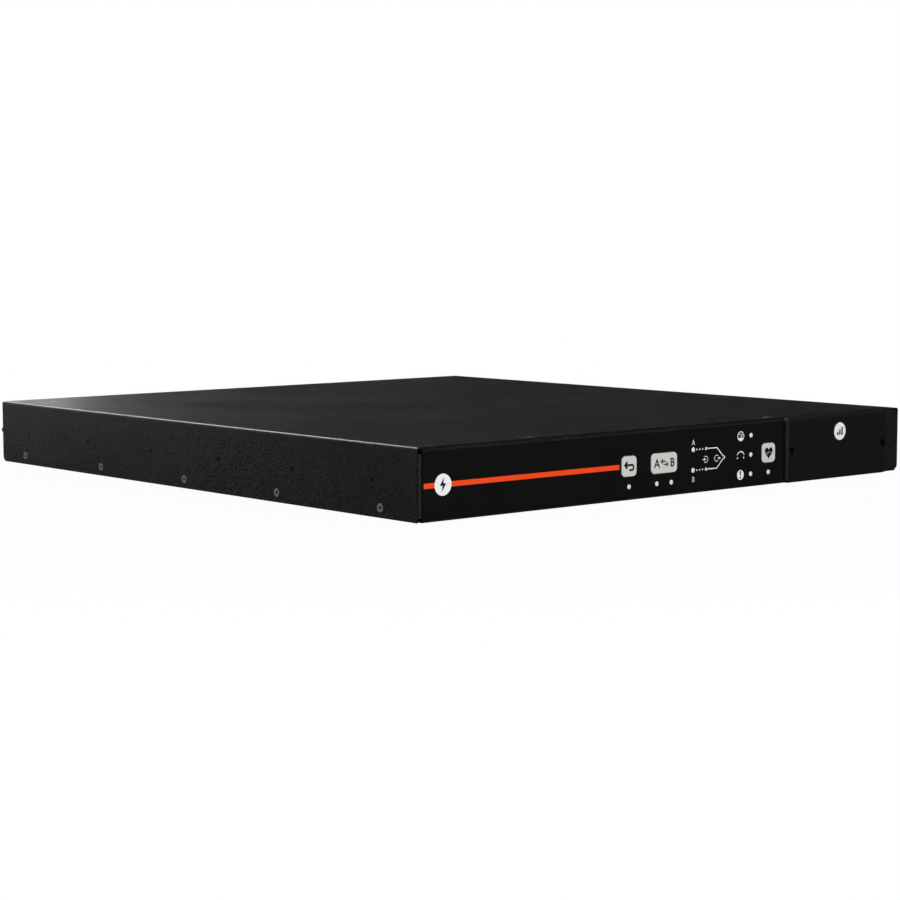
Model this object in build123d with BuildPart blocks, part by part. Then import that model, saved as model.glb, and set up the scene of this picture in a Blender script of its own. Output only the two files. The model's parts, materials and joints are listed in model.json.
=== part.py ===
from build123d import *
import os

# Rack power distribution unit, one rack unit high, with two power inputs and a transfer switch.
# Millimetres. X runs across the unit, +X to the right seen from the front.
# Y runs from the front panel to the sockets at the rear, and Z upwards.
# The origin is the centre of the underside.

# Chassis
width = 437.4
depth = 470.0
height = 43.7
cover_sheet = 1.0
cover_bend = 1.6
cover_setback = 1.3
cover_lift = 0.2
cover_corner = 4.0
pan_sheet = 1.2
pan_bend = 1.5
fold_gap = 0.1
flange_depth = 14.0
side_wall_height = 15.0
corner_relief = 2.8
fold_slit = 0.8
bend_inset = 0.3

front_y = -depth / 2
rear_y = depth / 2
pan_half = width / 2 - cover_sheet - fold_gap
pan_top = height - cover_sheet - fold_gap
wall_inner_y = front_y + pan_sheet
rear_inner_y = rear_y - pan_sheet

# Fixings of the cover: flat-head screws along the sides and the top's front and rear edges
screw_head_r = 2.75
screw_shank_r = 1.5
screw_length = 6.0
screw_play = 0.05
clip_hole = 4.0
side_screw_count = 5
side_screw_first = 34.5
side_screw_last = 31.5
side_screw_z = 6.2
top_screw_inset = 8.0
top_screw_edge = 13.2
front_screw_edge = 94.3
front_screw_bay_gap = 11.3
top_rear_screw_x = (-65.2, 75.1)

side_screw_pitch = (depth - side_screw_first - side_screw_last) / (side_screw_count - 1)
top_corner_screw_x = width / 2 - top_screw_edge

# Threaded holes along both sides, for rack ears and rails
ear_hole_count = 6
ear_hole_first = 41.0
ear_hole_last = 38.0
ear_hole_z = 21.8
ear_hole_r = 1.25
ear_nut_r = 3.0
ear_nut_length = 2.6

ear_hole_pitch = (depth - ear_hole_first - ear_hole_last) / (ear_hole_count - 1)

# Monitoring module at the right of the front
module_margin = 18.15
module_width = 104.9
module_bottom = 0.2
module_height = 43.0
module_proud = 4.2
module_corner = 2.5
module_edge = 1.9
module_skin = 2.2
latch_window = 4.5
latch_window_inset = 4.85
latch_window_z = 21.2
bay_margin = 4.45
bay_bottom = 4.0
bay_height = 34.8
bay_play = 0.4
case_length = 112.0
case_wall = 1.6
case_board_z = 12.0
plug_width = 44.0
plug_height = 9.0
plug_length = 12.0
rail_width = 9.0
rail_sheet = 1.2
rail_end_gap = 0.8
latch_thickness = 1.0
latch_height = 8.0
latch_length = 26.0
latch_hook = 1.4
latch_hook_length = 3.4

module_centre_x = width / 2 - module_margin - module_width / 2
latch_window_offset = module_width / 2 - latch_window_inset
bay_width = module_width - 2 * bay_margin
top_front_screw_x = (front_screw_edge - width / 2, module_centre_x - bay_width / 2 - front_screw_bay_gap)
module_face_y = front_y - module_proud
case_rear_y = front_y + case_length
rail_length = case_length - rail_end_gap - pan_sheet - flange_depth

# Control panel on the front: a flat fascia with an orange stripe, a round badge, keys and lights.
# The keys' and lights' insets are distances from its right end
fascia_thickness = 2.1
fascia_edge_left = 2.65
fascia_gap = 3.5
fascia_bottom = 2.7
fascia_height = 38.7
control_z = 21.5
stripe_height = 3.1
stripe_gap = 1.95
inlay_depth = 0.3
badge_r = 6.4
badge_inset = 16.95

key_height = 13.2
key_narrow = 13.3
key_wide = 23.7
key_corner = 3.0
key_proud = 0.15
key_gap = 0.3
key_flange = 1.4
key_flange_thickness = 0.9
key_stem = 2.6
key_travel = 0.6
return_inset = 142.4
transfer_inset = 111.25
health_inset = 12.8

light_r = 1.4
light_shoulder = 4.0
light_play = 0.05
light_row_z = 8.8
status_pitch = 12.6
status_count = 3
status_inset = 30.1
input_light_inset = 84.8
input_light_rise = 6.6
transfer_light_spread = 13.0
panel_window_margin = 2.0
panel_window_bottom = 5.0
panel_window_height = 33.0

fascia_left = -width / 2 + fascia_edge_left
fascia_right = module_centre_x - module_width / 2 - fascia_gap
fascia_length = fascia_right - fascia_left
fascia_face_y = front_y - fascia_thickness
return_x = fascia_right - return_inset
transfer_x = fascia_right - transfer_inset
health_x = fascia_right - health_inset
status_x = fascia_right - status_inset
input_light_x = fascia_right - input_light_inset
stripe_length = return_x - key_narrow / 2 - stripe_gap - fascia_left
panel_window_left = return_x - key_narrow / 2 - panel_window_margin
panel_window_right = health_x + key_narrow / 2 + panel_window_margin

# Control board behind the front wall
board_thickness = 1.6
control_board_standoff = 6.8
control_board_reach_left = 13.1
control_board_reach_right = 8.0
control_board_bottom = 4.6
control_board_top = 37.0
post_r = 3.0
peg = 2.6
peg_play = 0.1
peg_length = 3.4
standoff_inset_left = 6.0
standoff_inset_right = 4.5
standoff_rise = 11.0
switch_body = 6.2
switch_depth = 3.5
stem_overlap = 0.8
diode_height = 1.1
diode_width = 2.4
ribbon_width = 20.0
ribbon_thickness = 0.8
ribbon_bend = 4.0

control_board_left = panel_window_left - control_board_reach_left
control_board_right = panel_window_right + control_board_reach_right
standoff_x = (control_board_left + standoff_inset_left, control_board_right - standoff_inset_right)
control_board_y = wall_inner_y + control_board_standoff
peg_hole = peg + 2 * peg_play
switch_face_y = control_board_y - switch_depth
switch_bore_depth = stem_overlap + 2 * key_travel

# Rear panel
inlet_margin = 15.7
inlet_pitch = 58.0
inlet_flange_width = 38.0
inlet_flange_height = 28.6
inlet_flange_thickness = 2.6
inlet_body_width = 33.6
inlet_body_height = 25.2
inlet_body_depth = 27.0
inlet_cavity_width = 28.6
inlet_cavity_height = 20.6
inlet_cavity_depth = 19.0
inlet_corner = 2.0
blade_width = 8.0
blade_thickness = 2.0
blade_length = 16.0
blade_spread = 13.0
blade_rise = 4.0
blade_tab = 7.0
panel_play = 0.15

breaker_offset = 29.0
breaker_neck_r = 5.4
breaker_neck_proud = 7.0
breaker_body_width = 14.0
breaker_body_height = 30.0
breaker_body_depth = 27.0
breaker_nut_r = 7.8
breaker_nut_height = 2.4
breaker_button_r = 3.4
breaker_button_proud = 1.6
breaker_button_guide = 5.5
breaker_travel = 3.5
running_gap = 0.3

gang_clear = 2.3
gang_gap = 3.1
gang_pitch = 29.2
gang_face_margin = 1.6
gang_face_height = 24.6
gang_face_thickness = 2.4
gang_body_margin = 1.0
gang_body_height = 22.0
gang_body_depth = 22.0
socket_width = 27.6
socket_height = 19.8
socket_cut = 5.6
socket_depth = 17.0
nose_width = 22.6
nose_height = 14.8
nose_cut = 4.2
slot_width = 2.4
slot_height = 4.8
slot_depth = 13.0
slot_spread = 14.0
slot_rise = 2.0
contact_tab = 5.0
neutral_tab = 11.0

large_margin = 17.7
large_gap = 6.3
large_face_width = 38.0
large_face_height = 28.6
large_body_width = 34.4
large_body_height = 25.6
large_socket_width = 32.0
large_socket_height = 23.2
large_nose_width = 27.2
large_nose_height = 18.4
large_slot_width = 8.6
large_slot_height = 2.6

stud_inset = 6.6
stud_r = 2.5
stud_length = 8.2
stud_head_r = 3.6
stud_head_height = 1.2
stud_z = 22.4
washer_r = 5.0
washer_thickness = 1.0
nut_flat = 8.0
nut_height = 4.7

socket_z = height / 2
first_inlet_x = -width / 2 + inlet_margin + inlet_flange_width / 2
inlet_x = (first_inlet_x, first_inlet_x + inlet_pitch)
breaker_x = tuple(x + breaker_offset for x in inlet_x)
large_outlet_x = width / 2 - large_margin - large_face_width / 2

# Two equal strips fill the wall between the breakers and the large socket, with as many sockets as fit
gang_bank_left = breaker_x[-1] + breaker_nut_r + gang_clear
gang_bank_right = large_outlet_x - large_face_width / 2 - large_gap
gang_room = (gang_bank_right - gang_bank_left - gang_gap) / 2
gang_sockets = int((gang_room - gang_face_margin) / gang_pitch)
gang_face_width = gang_sockets * gang_pitch + gang_face_margin
last_gang_x = gang_bank_right - gang_face_width / 2
gang_centre_x = (last_gang_x - gang_face_width - gang_gap, last_gang_x)

breaker_button_length = breaker_button_guide + breaker_travel
outlet_back_y = rear_inner_y - gang_body_depth
outlet_face_y = rear_y + gang_face_thickness
gang_body_width = gang_sockets * gang_pitch - gang_body_margin
inlet_back_y = rear_y - inlet_body_depth

# Power board on its posts, and what it carries. Places along Y are distances from the front
board_edge = 13.7
board_bay_gap = 16.1
board_front = 52.0
board_rear_gap = 98.0
post_height = 7.0
post_inset = 8.0
post_columns = 3
post_rows = 3

relay_count = 4
relay_width = 20.0
relay_length = 32.0
relay_height = 24.0
relay_pitch = 27.0
relay_first_x = -60.0
relay_gap = 2.0
relay_edge = 1.0
filter_width = 30.0
filter_length = 42.0
filter_height = 20.0
filter_offset = 14.0
filter_gap = 47.0
supply_width = 36.0
supply_length = 56.0
supply_height = 22.0
supply_inset = 35.0
supply_pitch = 50.0
supply_y = 120.0
capacitor_r = 8.0
capacitor_height = 26.0
capacitor_pitch = 20.0
capacitor_count = 2
capacitor_inset = 145.0
capacitor_gap = 22.0
sensor_width = 18.0
sensor_length = 10.0
sensor_height = 20.0
sensor_window = 9.0
sensor_pitch = 26.0
sensor_count = 3
sensor_gap = 23.0
terminal_width = 48.0
terminal_length = 14.0
terminal_height = 21.0
terminal_inset = 20.0
output_terminal_width = 32.0
chip_size = 14.0
chip_height = 1.6
chip_x = -20.0
chip_y = 90.0
header_width = 24.0
header_depth = 6.0
header_height = 5.0
header_inset = 52.0
header_y = 66.0

board_left = -width / 2 + board_edge
board_right = module_centre_x - bay_width / 2 - board_bay_gap
board_rear = depth - board_rear_gap
board_z = pan_sheet + post_height
board_top = board_z + board_thickness
board_length = board_rear - board_front
board_width = board_right - board_left
terminal_y = board_rear - terminal_inset - terminal_length
sensor_y = terminal_y - sensor_gap - sensor_length
filter_y = terminal_y - filter_gap - filter_length / 2
relay_y = filter_y - (filter_length + relay_length) / 2 - relay_gap
capacitor_y = relay_y - relay_length / 2 - capacitor_gap - capacitor_r
filter_x = tuple(x + filter_offset for x in inlet_x)
supply_x = (board_left + supply_inset, board_left + supply_inset + supply_pitch)
capacitor_x = board_left + capacitor_inset
header_x = control_board_left + header_inset

# Bars that feed the sockets, and the leads
bar_thickness = 1.5
bar_width = 4.0
bar_clear = 1.0
bar_lane = 0.5
bar_reach = 5.0
bar_stagger = 12.0
lead_width = 6.0
lead_thickness = 1.2


def facing_front(y):
    """A sketch plane at this Y that faces the front; its own y is the unit's Z."""
    return Plane.XZ.offset(-y)


def from_front(distance):
    """The Y of a place this far behind the front wall's face."""
    return front_y + distance


def facing_out(side, first, pitch, count, z, x):
    """Places along one side of the unit, each facing outwards."""
    rows = [from_front(first + pitch * i) for i in range(count)]
    return [Plane(origin=(side * x, y, z), z_dir=(side, 0, 0)).location for y in rows]


def on_both_sides(first, pitch, count, z, x):
    return [place for side in (-1, 1) for place in facing_out(side, first, pitch, count, z, x)]


def save(part, label):
    """Names a finished piece and writes its file."""
    part.label = label
    export_step(part, f"parts/{label}.step")


os.makedirs("parts", exist_ok=True)

side_screw_places = on_both_sides(
    side_screw_first, side_screw_pitch, side_screw_count, side_screw_z, width / 2
)
ear_hole_places = on_both_sides(
    ear_hole_first, ear_hole_pitch, ear_hole_count, ear_hole_z, width / 2
)
top_screw_places = [Location((x, from_front(top_screw_inset), height)) for x in top_front_screw_x]
rear_screw_x = (-top_corner_screw_x, *top_rear_screw_x, top_corner_screw_x)
top_screw_places += [Location((x, rear_y - top_screw_inset, height)) for x in rear_screw_x]
ear_nut_places = on_both_sides(
    ear_hole_first, ear_hole_pitch, ear_hole_count, ear_hole_z, width / 2 - cover_sheet
)

key_centres = ((return_x, key_narrow), (transfer_x, key_wide), (health_x, key_narrow))
light_places = [
    (return_x, light_row_z),
    (transfer_x - transfer_light_spread / 2, light_row_z),
    (transfer_x + transfer_light_spread / 2, light_row_z),
    (health_x, light_row_z),
    (input_light_x, control_z - input_light_rise),
    (input_light_x, control_z + input_light_rise),
]
light_places += [(status_x, light_row_z + status_pitch * i) for i in range(status_count)]
standoff_places = [(x, control_z + rise) for x in standoff_x for rise in (-standoff_rise, standoff_rise)]


# Base pan: floor, front and rear walls with their returns, and low side walls, folded from one sheet
with BuildPart() as base_pan:
    with BuildSketch():
        Rectangle(2 * pan_half, depth)
    extrude(amount=pan_top)
    folds = base_pan.edges().filter_by(Axis.Z)
    folds += base_pan.faces().sort_by(Axis.Z)[0].edges()
    folds += base_pan.faces().sort_by(Axis.Z)[-1].edges().filter_by(Axis.X)
    fillet(folds, radius=pan_bend)
    offset(amount=-pan_sheet, mode=Mode.SUBTRACT)
    with Locations((0, 0, side_wall_height)):
        Box(
            width,
            depth - 2 * flange_depth,
            height,
            align=(Align.CENTER, Align.CENTER, Align.MIN),
            mode=Mode.SUBTRACT,
        )
    for side in (-1, 1):
        for end in (-1, 1):
            corner_x = side * (pan_half - corner_relief / 2)
            corner_y = end * (depth - flange_depth) / 2
            for corner_z in (corner_relief / 2, pan_top - corner_relief / 2):
                with Locations((corner_x, corner_y, corner_z)):
                    Box(corner_relief, flange_depth, corner_relief, mode=Mode.SUBTRACT)
            with Locations((corner_x, end * (depth / 2 - flange_depth), height / 2)):
                Box(corner_relief, fold_slit, height, mode=Mode.SUBTRACT)
    # Front wall: one window behind the keys and lights, and the module's bay
    with BuildSketch(facing_front(front_y)):
        with Locations(
            (
                (panel_window_left + panel_window_right) / 2,
                panel_window_bottom + panel_window_height / 2,
            )
        ):
            Rectangle(panel_window_right - panel_window_left, panel_window_height)
        with Locations((module_centre_x, bay_bottom + bay_height / 2)):
            Rectangle(bay_width + 2 * bay_play, bay_height + 2 * bay_play)
    extrude(amount=-pan_sheet, mode=Mode.SUBTRACT)
    # Rear wall: openings for the inlets, breakers, sockets and the earth stud
    with BuildSketch(facing_front(rear_y)):
        with Locations(*[(x, socket_z) for x in inlet_x]):
            Rectangle(inlet_body_width + 2 * panel_play, inlet_body_height + 2 * panel_play)
        with Locations(*[(x, socket_z) for x in breaker_x]):
            Circle(breaker_neck_r + panel_play)
        with Locations(*[(x, socket_z) for x in gang_centre_x]):
            Rectangle(gang_body_width + 2 * panel_play, gang_body_height + 2 * panel_play)
        with Locations((large_outlet_x, socket_z)):
            Rectangle(large_body_width + 2 * panel_play, large_body_height + 2 * panel_play)
        with Locations((-width / 2 + stud_inset, stud_z)):
            Circle(stud_r + panel_play)
    extrude(amount=pan_sheet, mode=Mode.SUBTRACT)
    # Square holes for clip nuts in the side walls and the top flanges
    with Locations(*side_screw_places, *top_screw_places):
        Box(clip_hole, clip_hole, 2 * (pan_sheet + cover_sheet + fold_gap), mode=Mode.SUBTRACT)
save(base_pan.part, "base_pan")

# Cover: top and both sides, folded over the pan and screwed to it
with BuildPart() as top_cover:
    with BuildSketch(facing_front(from_front(cover_setback))):
        with Locations((0, (height + cover_lift) / 2)):
            Rectangle(width, height - cover_lift)
    extrude(amount=-(depth - cover_setback))
    fillet(top_cover.faces().sort_by(Axis.Z)[-1].edges().filter_by(Axis.Y), radius=cover_bend)
    open_faces = top_cover.faces().filter_by(Axis.Y) + top_cover.faces().sort_by(Axis.Z)[:1]
    offset(amount=-cover_sheet, openings=open_faces)
    foot_corners = top_cover.edges().filter_by(Axis.X).group_by(Axis.Z)[0]
    # The corner at the front left is square, and the other three are rounded
    fillet(foot_corners.sort_by(lambda edge: edge.center().X + edge.center().Y)[1:], cover_corner)
    with Locations(*side_screw_places, *top_screw_places):
        CounterSinkHole(
            radius=screw_shank_r + screw_play,
            counter_sink_radius=screw_head_r,
            depth=2 * cover_sheet,
            counter_sink_angle=90,
        )
    # Press nuts are swaged into the sheet behind the ear holes, so they are one piece with it
    for place in ear_nut_places:
        with BuildSketch(Plane(place)):
            RegularPolygon(ear_nut_r, side_count=6)
        extrude(amount=-ear_nut_length)
    with Locations(*ear_hole_places):
        Hole(ear_hole_r, depth=cover_sheet + ear_nut_length)
save(top_cover.part, "top_cover")

# One flat-head screw, its face at Z 0, and the groups that hold the cover
with BuildPart() as flat_screw:
    head_top_r = screw_head_r - 2 * screw_play
    Cone(
        screw_shank_r,
        head_top_r,
        head_top_r - screw_shank_r,
        align=(Align.CENTER, Align.CENTER, Align.MAX),
    )
    with BuildSketch():
        Circle(screw_shank_r)
    extrude(amount=-screw_length)

with BuildPart() as side_screws:
    with Locations(*side_screw_places):
        add(flat_screw.part)
save(side_screws.part, "side_screws")

with BuildPart() as top_screws:
    with Locations(*top_screw_places):
        add(flat_screw.part)
save(top_screws.part, "top_screws")

# Fascia: a flat plate with cut-outs for the keys and lights, a channel for the stripe and a round seat
badge_x = -width / 2 + badge_inset
with BuildPart() as front_fascia:
    with BuildSketch(facing_front(front_y)):
        with Locations((fascia_left + fascia_length / 2, fascia_bottom + fascia_height / 2)):
            Rectangle(fascia_length, fascia_height)
        for key_x, key_width in key_centres:
            with Locations((key_x, control_z)):
                RectangleRounded(
                    key_width + 2 * key_gap,
                    key_height + 2 * key_gap,
                    key_corner + key_gap,
                    mode=Mode.SUBTRACT,
                )
        with Locations(*light_places):
            Circle(light_r + light_play, mode=Mode.SUBTRACT)
    extrude(amount=fascia_thickness)
    with BuildSketch(facing_front(fascia_face_y)) as inlay_seats:
        with Locations((fascia_left + stripe_length / 2, control_z)):
            Rectangle(stripe_length, stripe_height)
        with Locations((badge_x, control_z)):
            Circle(badge_r)
    extrude(amount=-inlay_depth, mode=Mode.SUBTRACT)
save(front_fascia.part, "front_fascia")

with BuildPart() as accent_stripe:
    with BuildSketch(facing_front(fascia_face_y)):
        with Locations((fascia_left + stripe_length / 2, control_z)):
            Rectangle(stripe_length, stripe_height)
        with Locations((badge_x, control_z)):
            Circle(badge_r, mode=Mode.SUBTRACT)
    extrude(amount=-inlay_depth)
save(accent_stripe.part, "accent_stripe")

with BuildPart() as round_badge:
    with BuildSketch(facing_front(fascia_face_y)):
        with Locations((badge_x, control_z)):
            Circle(badge_r)
    extrude(amount=-inlay_depth)
save(round_badge.part, "round_badge")


# Keys: a cap through the fascia, a flange that keeps it in, and a stem that reaches its switch
def make_key(key_x, key_width):
    flange_y = front_y + fold_gap
    with BuildPart() as key:
        with BuildSketch(facing_front(flange_y)):
            with Locations((key_x, control_z)):
                RectangleRounded(key_width, key_height, key_corner)
        extrude(amount=fascia_thickness + fold_gap + key_proud)
        chamfer(key.faces().sort_by(Axis.Y)[0].edges(), key_proud)
        with BuildSketch(facing_front(flange_y)):
            with Locations((key_x, control_z)):
                Rectangle(key_width + 2 * key_flange, key_height + 2 * key_flange)
        extrude(amount=-key_flange_thickness)
        with BuildSketch(facing_front(flange_y)):
            with Locations((key_x, control_z)):
                Rectangle(key_stem, key_stem)
        extrude(amount=-(switch_face_y + stem_overlap - flange_y))
    return key.part


save(make_key(*key_centres[0]), "return_key")
save(make_key(*key_centres[1]), "transfer_key")
save(make_key(*key_centres[2]), "health_key")

# Light pipes: a round head in the fascia, and a square stem behind it that stops short of the diode
diode_face_y = control_board_y - diode_height
light_shoulder_y = front_y + fold_gap
with BuildPart() as light_pipes:
    with BuildSketch(facing_front(fascia_face_y)):
        with Locations(*light_places):
            Circle(light_r)
    extrude(amount=fascia_face_y - light_shoulder_y)
    with BuildSketch(facing_front(light_shoulder_y)):
        with Locations(*light_places):
            Rectangle(light_shoulder, light_shoulder)
    extrude(amount=light_shoulder_y - diode_face_y + fold_gap)
save(light_pipes.part, "light_pipes")


# Boards sit on six-sided snap posts, whose square pegs pass through them
def make_posts(plane, places, post_length):
    """Posts that stand on this plane, each with its peg."""
    with BuildPart() as posts:
        with BuildSketch(plane):
            with Locations(*places):
                RegularPolygon(post_r, side_count=6)
        extrude(amount=post_length)
        with BuildSketch(plane):
            with Locations(*places):
                Rectangle(peg, peg)
        extrude(amount=post_length + peg_length)
    return posts.part


# Control board with its posts, switches and diodes
control_board_width = control_board_right - control_board_left
control_board_height = control_board_top - control_board_bottom
control_board_back_y = control_board_y + board_thickness
with BuildPart() as control_board:
    with BuildSketch(facing_front(control_board_y)):
        with Locations(
            (control_board_left + control_board_width / 2, control_board_bottom + control_board_height / 2)
        ):
            Rectangle(control_board_width, control_board_height)
        with Locations(*standoff_places):
            Rectangle(peg_hole, peg_hole, mode=Mode.SUBTRACT)
    extrude(amount=-board_thickness)
save(control_board.part, "control_board")

wall_back = Plane(origin=(0, wall_inner_y, 0), x_dir=(-1, 0, 0), z_dir=(0, 1, 0))
control_post_places = [(-x, z) for x, z in standoff_places]
save(make_posts(wall_back, control_post_places, control_board_standoff), "control_posts")

with BuildPart() as key_switches:
    with BuildSketch(facing_front(switch_face_y)):
        with Locations(*[(x, control_z) for x, _ in key_centres]):
            Rectangle(switch_body, switch_body)
    extrude(amount=-switch_depth)
    with BuildSketch(facing_front(switch_face_y)):
        with Locations(*[(x, control_z) for x, _ in key_centres]):
            Rectangle(key_stem + 2 * key_gap, key_stem + 2 * key_gap)
    extrude(amount=-switch_bore_depth, mode=Mode.SUBTRACT)
save(key_switches.part, "key_switches")

with BuildPart() as diodes:
    with BuildSketch(facing_front(diode_face_y)):
        with Locations(*light_places):
            Rectangle(diode_width, diode_width)
    extrude(amount=-diode_height)
save(diodes.part, "diodes")

# Monitoring module: face with rounded edges and two latch windows
module_centre_z = module_bottom + module_height / 2
latch_windows = [(module_centre_x + side * latch_window_offset, latch_window_z) for side in (-1, 1)]
with BuildPart() as module_face:
    with BuildSketch(facing_front(front_y)):
        with Locations((module_centre_x, module_centre_z)):
            RectangleRounded(module_width, module_height, module_corner)
    extrude(amount=module_proud)
    fillet(module_face.faces().sort_by(Axis.Y)[0].edges(), module_edge)
    with BuildSketch(facing_front(front_y)):
        with Locations((module_centre_x, module_centre_z)):
            Rectangle(module_width - 2 * module_skin, module_height - 2 * module_skin)
    extrude(amount=module_proud - module_skin, mode=Mode.SUBTRACT)
    with BuildSketch(facing_front(module_face_y)):
        with Locations(*latch_windows):
            Rectangle(latch_window, latch_window)
    extrude(amount=-module_skin, mode=Mode.SUBTRACT)
save(module_face.part, "module_face")

# Module case behind the face: open at the front, with posts for its board and side windows for the latches
case_front_y = module_face_y + module_skin
case_floor_z = bay_bottom + case_wall
case_inner_half = bay_width / 2 - case_wall
case_board_width = 2 * (case_inner_half - bay_play)
case_board_front_y = front_y + module_proud
case_post_y = (case_board_front_y + post_inset, case_rear_y - 2 * post_inset)
case_post_x = case_board_width / 2 - post_inset
case_post_places = [(module_centre_x + side * case_post_x, y) for side in (-1, 1) for y in case_post_y]
plug_z = case_board_z + board_thickness + plug_height / 2
latch_y = wall_inner_y + key_gap
with BuildPart() as module_case:
    with BuildSketch(facing_front(case_front_y)):
        with Locations((module_centre_x, bay_bottom + bay_height / 2)):
            Rectangle(bay_width, bay_height)
    extrude(amount=case_front_y - case_rear_y)
    offset(amount=-case_wall, openings=module_case.faces().sort_by(Axis.Y)[0])
    with BuildSketch(Plane.XY.offset(case_floor_z)):
        with Locations(*case_post_places):
            RegularPolygon(post_r, side_count=6)
    extrude(amount=case_board_z - case_floor_z)
    with BuildSketch(Plane.XY.offset(case_board_z)):
        with Locations(*case_post_places):
            Rectangle(peg, peg)
    extrude(amount=peg_length)
    with BuildSketch(facing_front(case_rear_y)):
        with Locations((module_centre_x, plug_z)):
            Rectangle(plug_width + 2 * panel_play, plug_height + 2 * panel_play)
    extrude(amount=case_wall, mode=Mode.SUBTRACT)
    with Locations((module_centre_x, latch_y + latch_hook_length / 2, latch_window_z)):
        Box(
            bay_width,
            latch_hook_length + 2 * key_gap,
            latch_height + 2 * key_gap,
            mode=Mode.SUBTRACT,
        )
save(module_case.part, "module_case")

with BuildPart() as module_board:
    with BuildSketch(Plane.XY.offset(case_board_z)):
        case_board_length = case_rear_y - case_wall - bay_play - case_board_front_y
        with Locations((module_centre_x, case_board_front_y + case_board_length / 2)):
            Rectangle(case_board_width, case_board_length)
        with Locations(*case_post_places):
            Rectangle(peg_hole, peg_hole, mode=Mode.SUBTRACT)
    extrude(amount=board_thickness)
save(module_board.part, "module_board")

# The plug on the module's board and the socket in the bay that it pushes into
plug_front_y = case_rear_y - case_wall - plug_length / 2
with BuildPart() as module_plug:
    with BuildSketch(facing_front(plug_front_y)):
        with Locations((module_centre_x, plug_z)):
            Rectangle(plug_width, plug_height)
    extrude(amount=-plug_length)
save(module_plug.part, "module_plug")

plug_back_y = plug_front_y + plug_length
backplane_y = plug_back_y + case_wall + key_gap
with BuildPart() as bay_socket:
    with BuildSketch(facing_front(backplane_y)):
        with Locations((module_centre_x, plug_z)):
            Rectangle(plug_width + 2 * case_wall + 2 * key_gap, plug_height + 2 * case_wall + 2 * key_gap)
    extrude(amount=backplane_y - case_rear_y - key_gap)
    with BuildSketch(facing_front(plug_back_y + key_gap)):
        with Locations((module_centre_x, plug_z)):
            Rectangle(plug_width + 2 * key_gap, plug_height + 2 * key_gap)
    extrude(amount=plug_length, mode=Mode.SUBTRACT)
save(bay_socket.part, "bay_socket")

with BuildPart() as bay_backplane:
    with BuildSketch(facing_front(backplane_y)):
        with Locations((module_centre_x, bay_bottom + bay_height / 2)):
            Rectangle(bay_width, bay_height)
    extrude(amount=-board_thickness)
save(bay_backplane.part, "bay_backplane")

# Folded bracket that holds the bay's board upright on the floor
bracket_y = backplane_y + board_thickness
with BuildPart() as bay_bracket:
    with BuildSketch(Plane.YZ.offset(module_centre_x - bay_width / 2)):
        with BuildLine():
            FilletPolyline(
                (bracket_y, bay_bottom + bay_height),
                (bracket_y, pan_sheet),
                (bracket_y + flange_depth, pan_sheet),
                radius=pan_bend + bend_inset,
            )
            offset(amount=rail_sheet, side=Side.LEFT)
        make_face()
    extrude(amount=bay_width)
save(bay_bracket.part, "bay_bracket")

# Guide rails on the floor: the module slides on their feet, between their side lips
with BuildPart() as bay_rails:
    rail_top = bay_bottom - key_gap
    lip_x = bay_width / 2 + bay_play
    with BuildSketch(facing_front(wall_inner_y + flange_depth)):
        for side in (-1, 1):
            with BuildLine():
                Polyline(
                    (module_centre_x + side * (lip_x - rail_width), pan_sheet),
                    (module_centre_x + side * (lip_x + rail_sheet), pan_sheet),
                    (module_centre_x + side * (lip_x + rail_sheet), rail_top + rail_width),
                    (module_centre_x + side * lip_x, rail_top + rail_width),
                    (module_centre_x + side * lip_x, rail_top),
                    (module_centre_x + side * (lip_x - rail_width), rail_top),
                    close=True,
                )
            make_face()
    extrude(amount=-rail_length)
save(bay_rails.part, "bay_rails")

# Latches: a flat spring on each inner wall of the case, with a hook behind the bay's edge
with BuildPart() as module_latches:
    with BuildSketch(Plane.XY.offset(latch_window_z - latch_height / 2)):
        for side in (-1, 1):
            inner_x = module_centre_x + side * (case_inner_half - latch_thickness)
            outer_x = module_centre_x + side * case_inner_half
            hook_x = module_centre_x + side * (bay_width / 2 + latch_hook)
            with BuildLine():
                Polyline(
                    (inner_x, case_front_y + key_gap),
                    (outer_x, case_front_y + key_gap),
                    (outer_x, latch_y),
                    (hook_x, latch_y),
                    (outer_x, latch_y + latch_hook_length),
                    (outer_x, case_front_y + latch_length),
                    (inner_x, case_front_y + latch_length),
                    close=True,
                )
            make_face()
    extrude(amount=latch_height)
save(module_latches.part, "module_latches")


# Power inlets: a flange outside the rear wall, a body inside and a cavity round three flat blades
def blade_centres(x):
    """Live and neutral side by side, and earth above them."""
    return [
        (x - blade_spread / 2, socket_z - blade_rise),
        (x + blade_spread / 2, socket_z - blade_rise),
        (x, socket_z + blade_rise),
    ]


def make_inlet(x):
    face_y = rear_y + inlet_flange_thickness
    with BuildPart() as inlet:
        with BuildSketch(facing_front(face_y)):
            with Locations((x, socket_z)):
                RectangleRounded(inlet_flange_width, inlet_flange_height, inlet_corner)
        extrude(amount=inlet_flange_thickness)
        chamfer(inlet.faces().sort_by(Axis.Y)[-1].edges(), fold_slit)
        with BuildSketch(facing_front(rear_y)):
            with Locations((x, socket_z)):
                Rectangle(inlet_body_width, inlet_body_height)
        extrude(amount=inlet_body_depth)
        with BuildSketch(facing_front(face_y)):
            with Locations((x, socket_z)):
                Rectangle(inlet_cavity_width, inlet_cavity_height)
        extrude(amount=inlet_cavity_depth, mode=Mode.SUBTRACT)
        with BuildSketch(facing_front(face_y)):
            with Locations(*blade_centres(x)):
                Rectangle(blade_width, blade_thickness)
        extrude(amount=inlet_flange_thickness + inlet_body_depth, mode=Mode.SUBTRACT)
    return inlet.part


save(make_inlet(inlet_x[0]), "inlet_a")
save(make_inlet(inlet_x[1]), "inlet_b")

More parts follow.
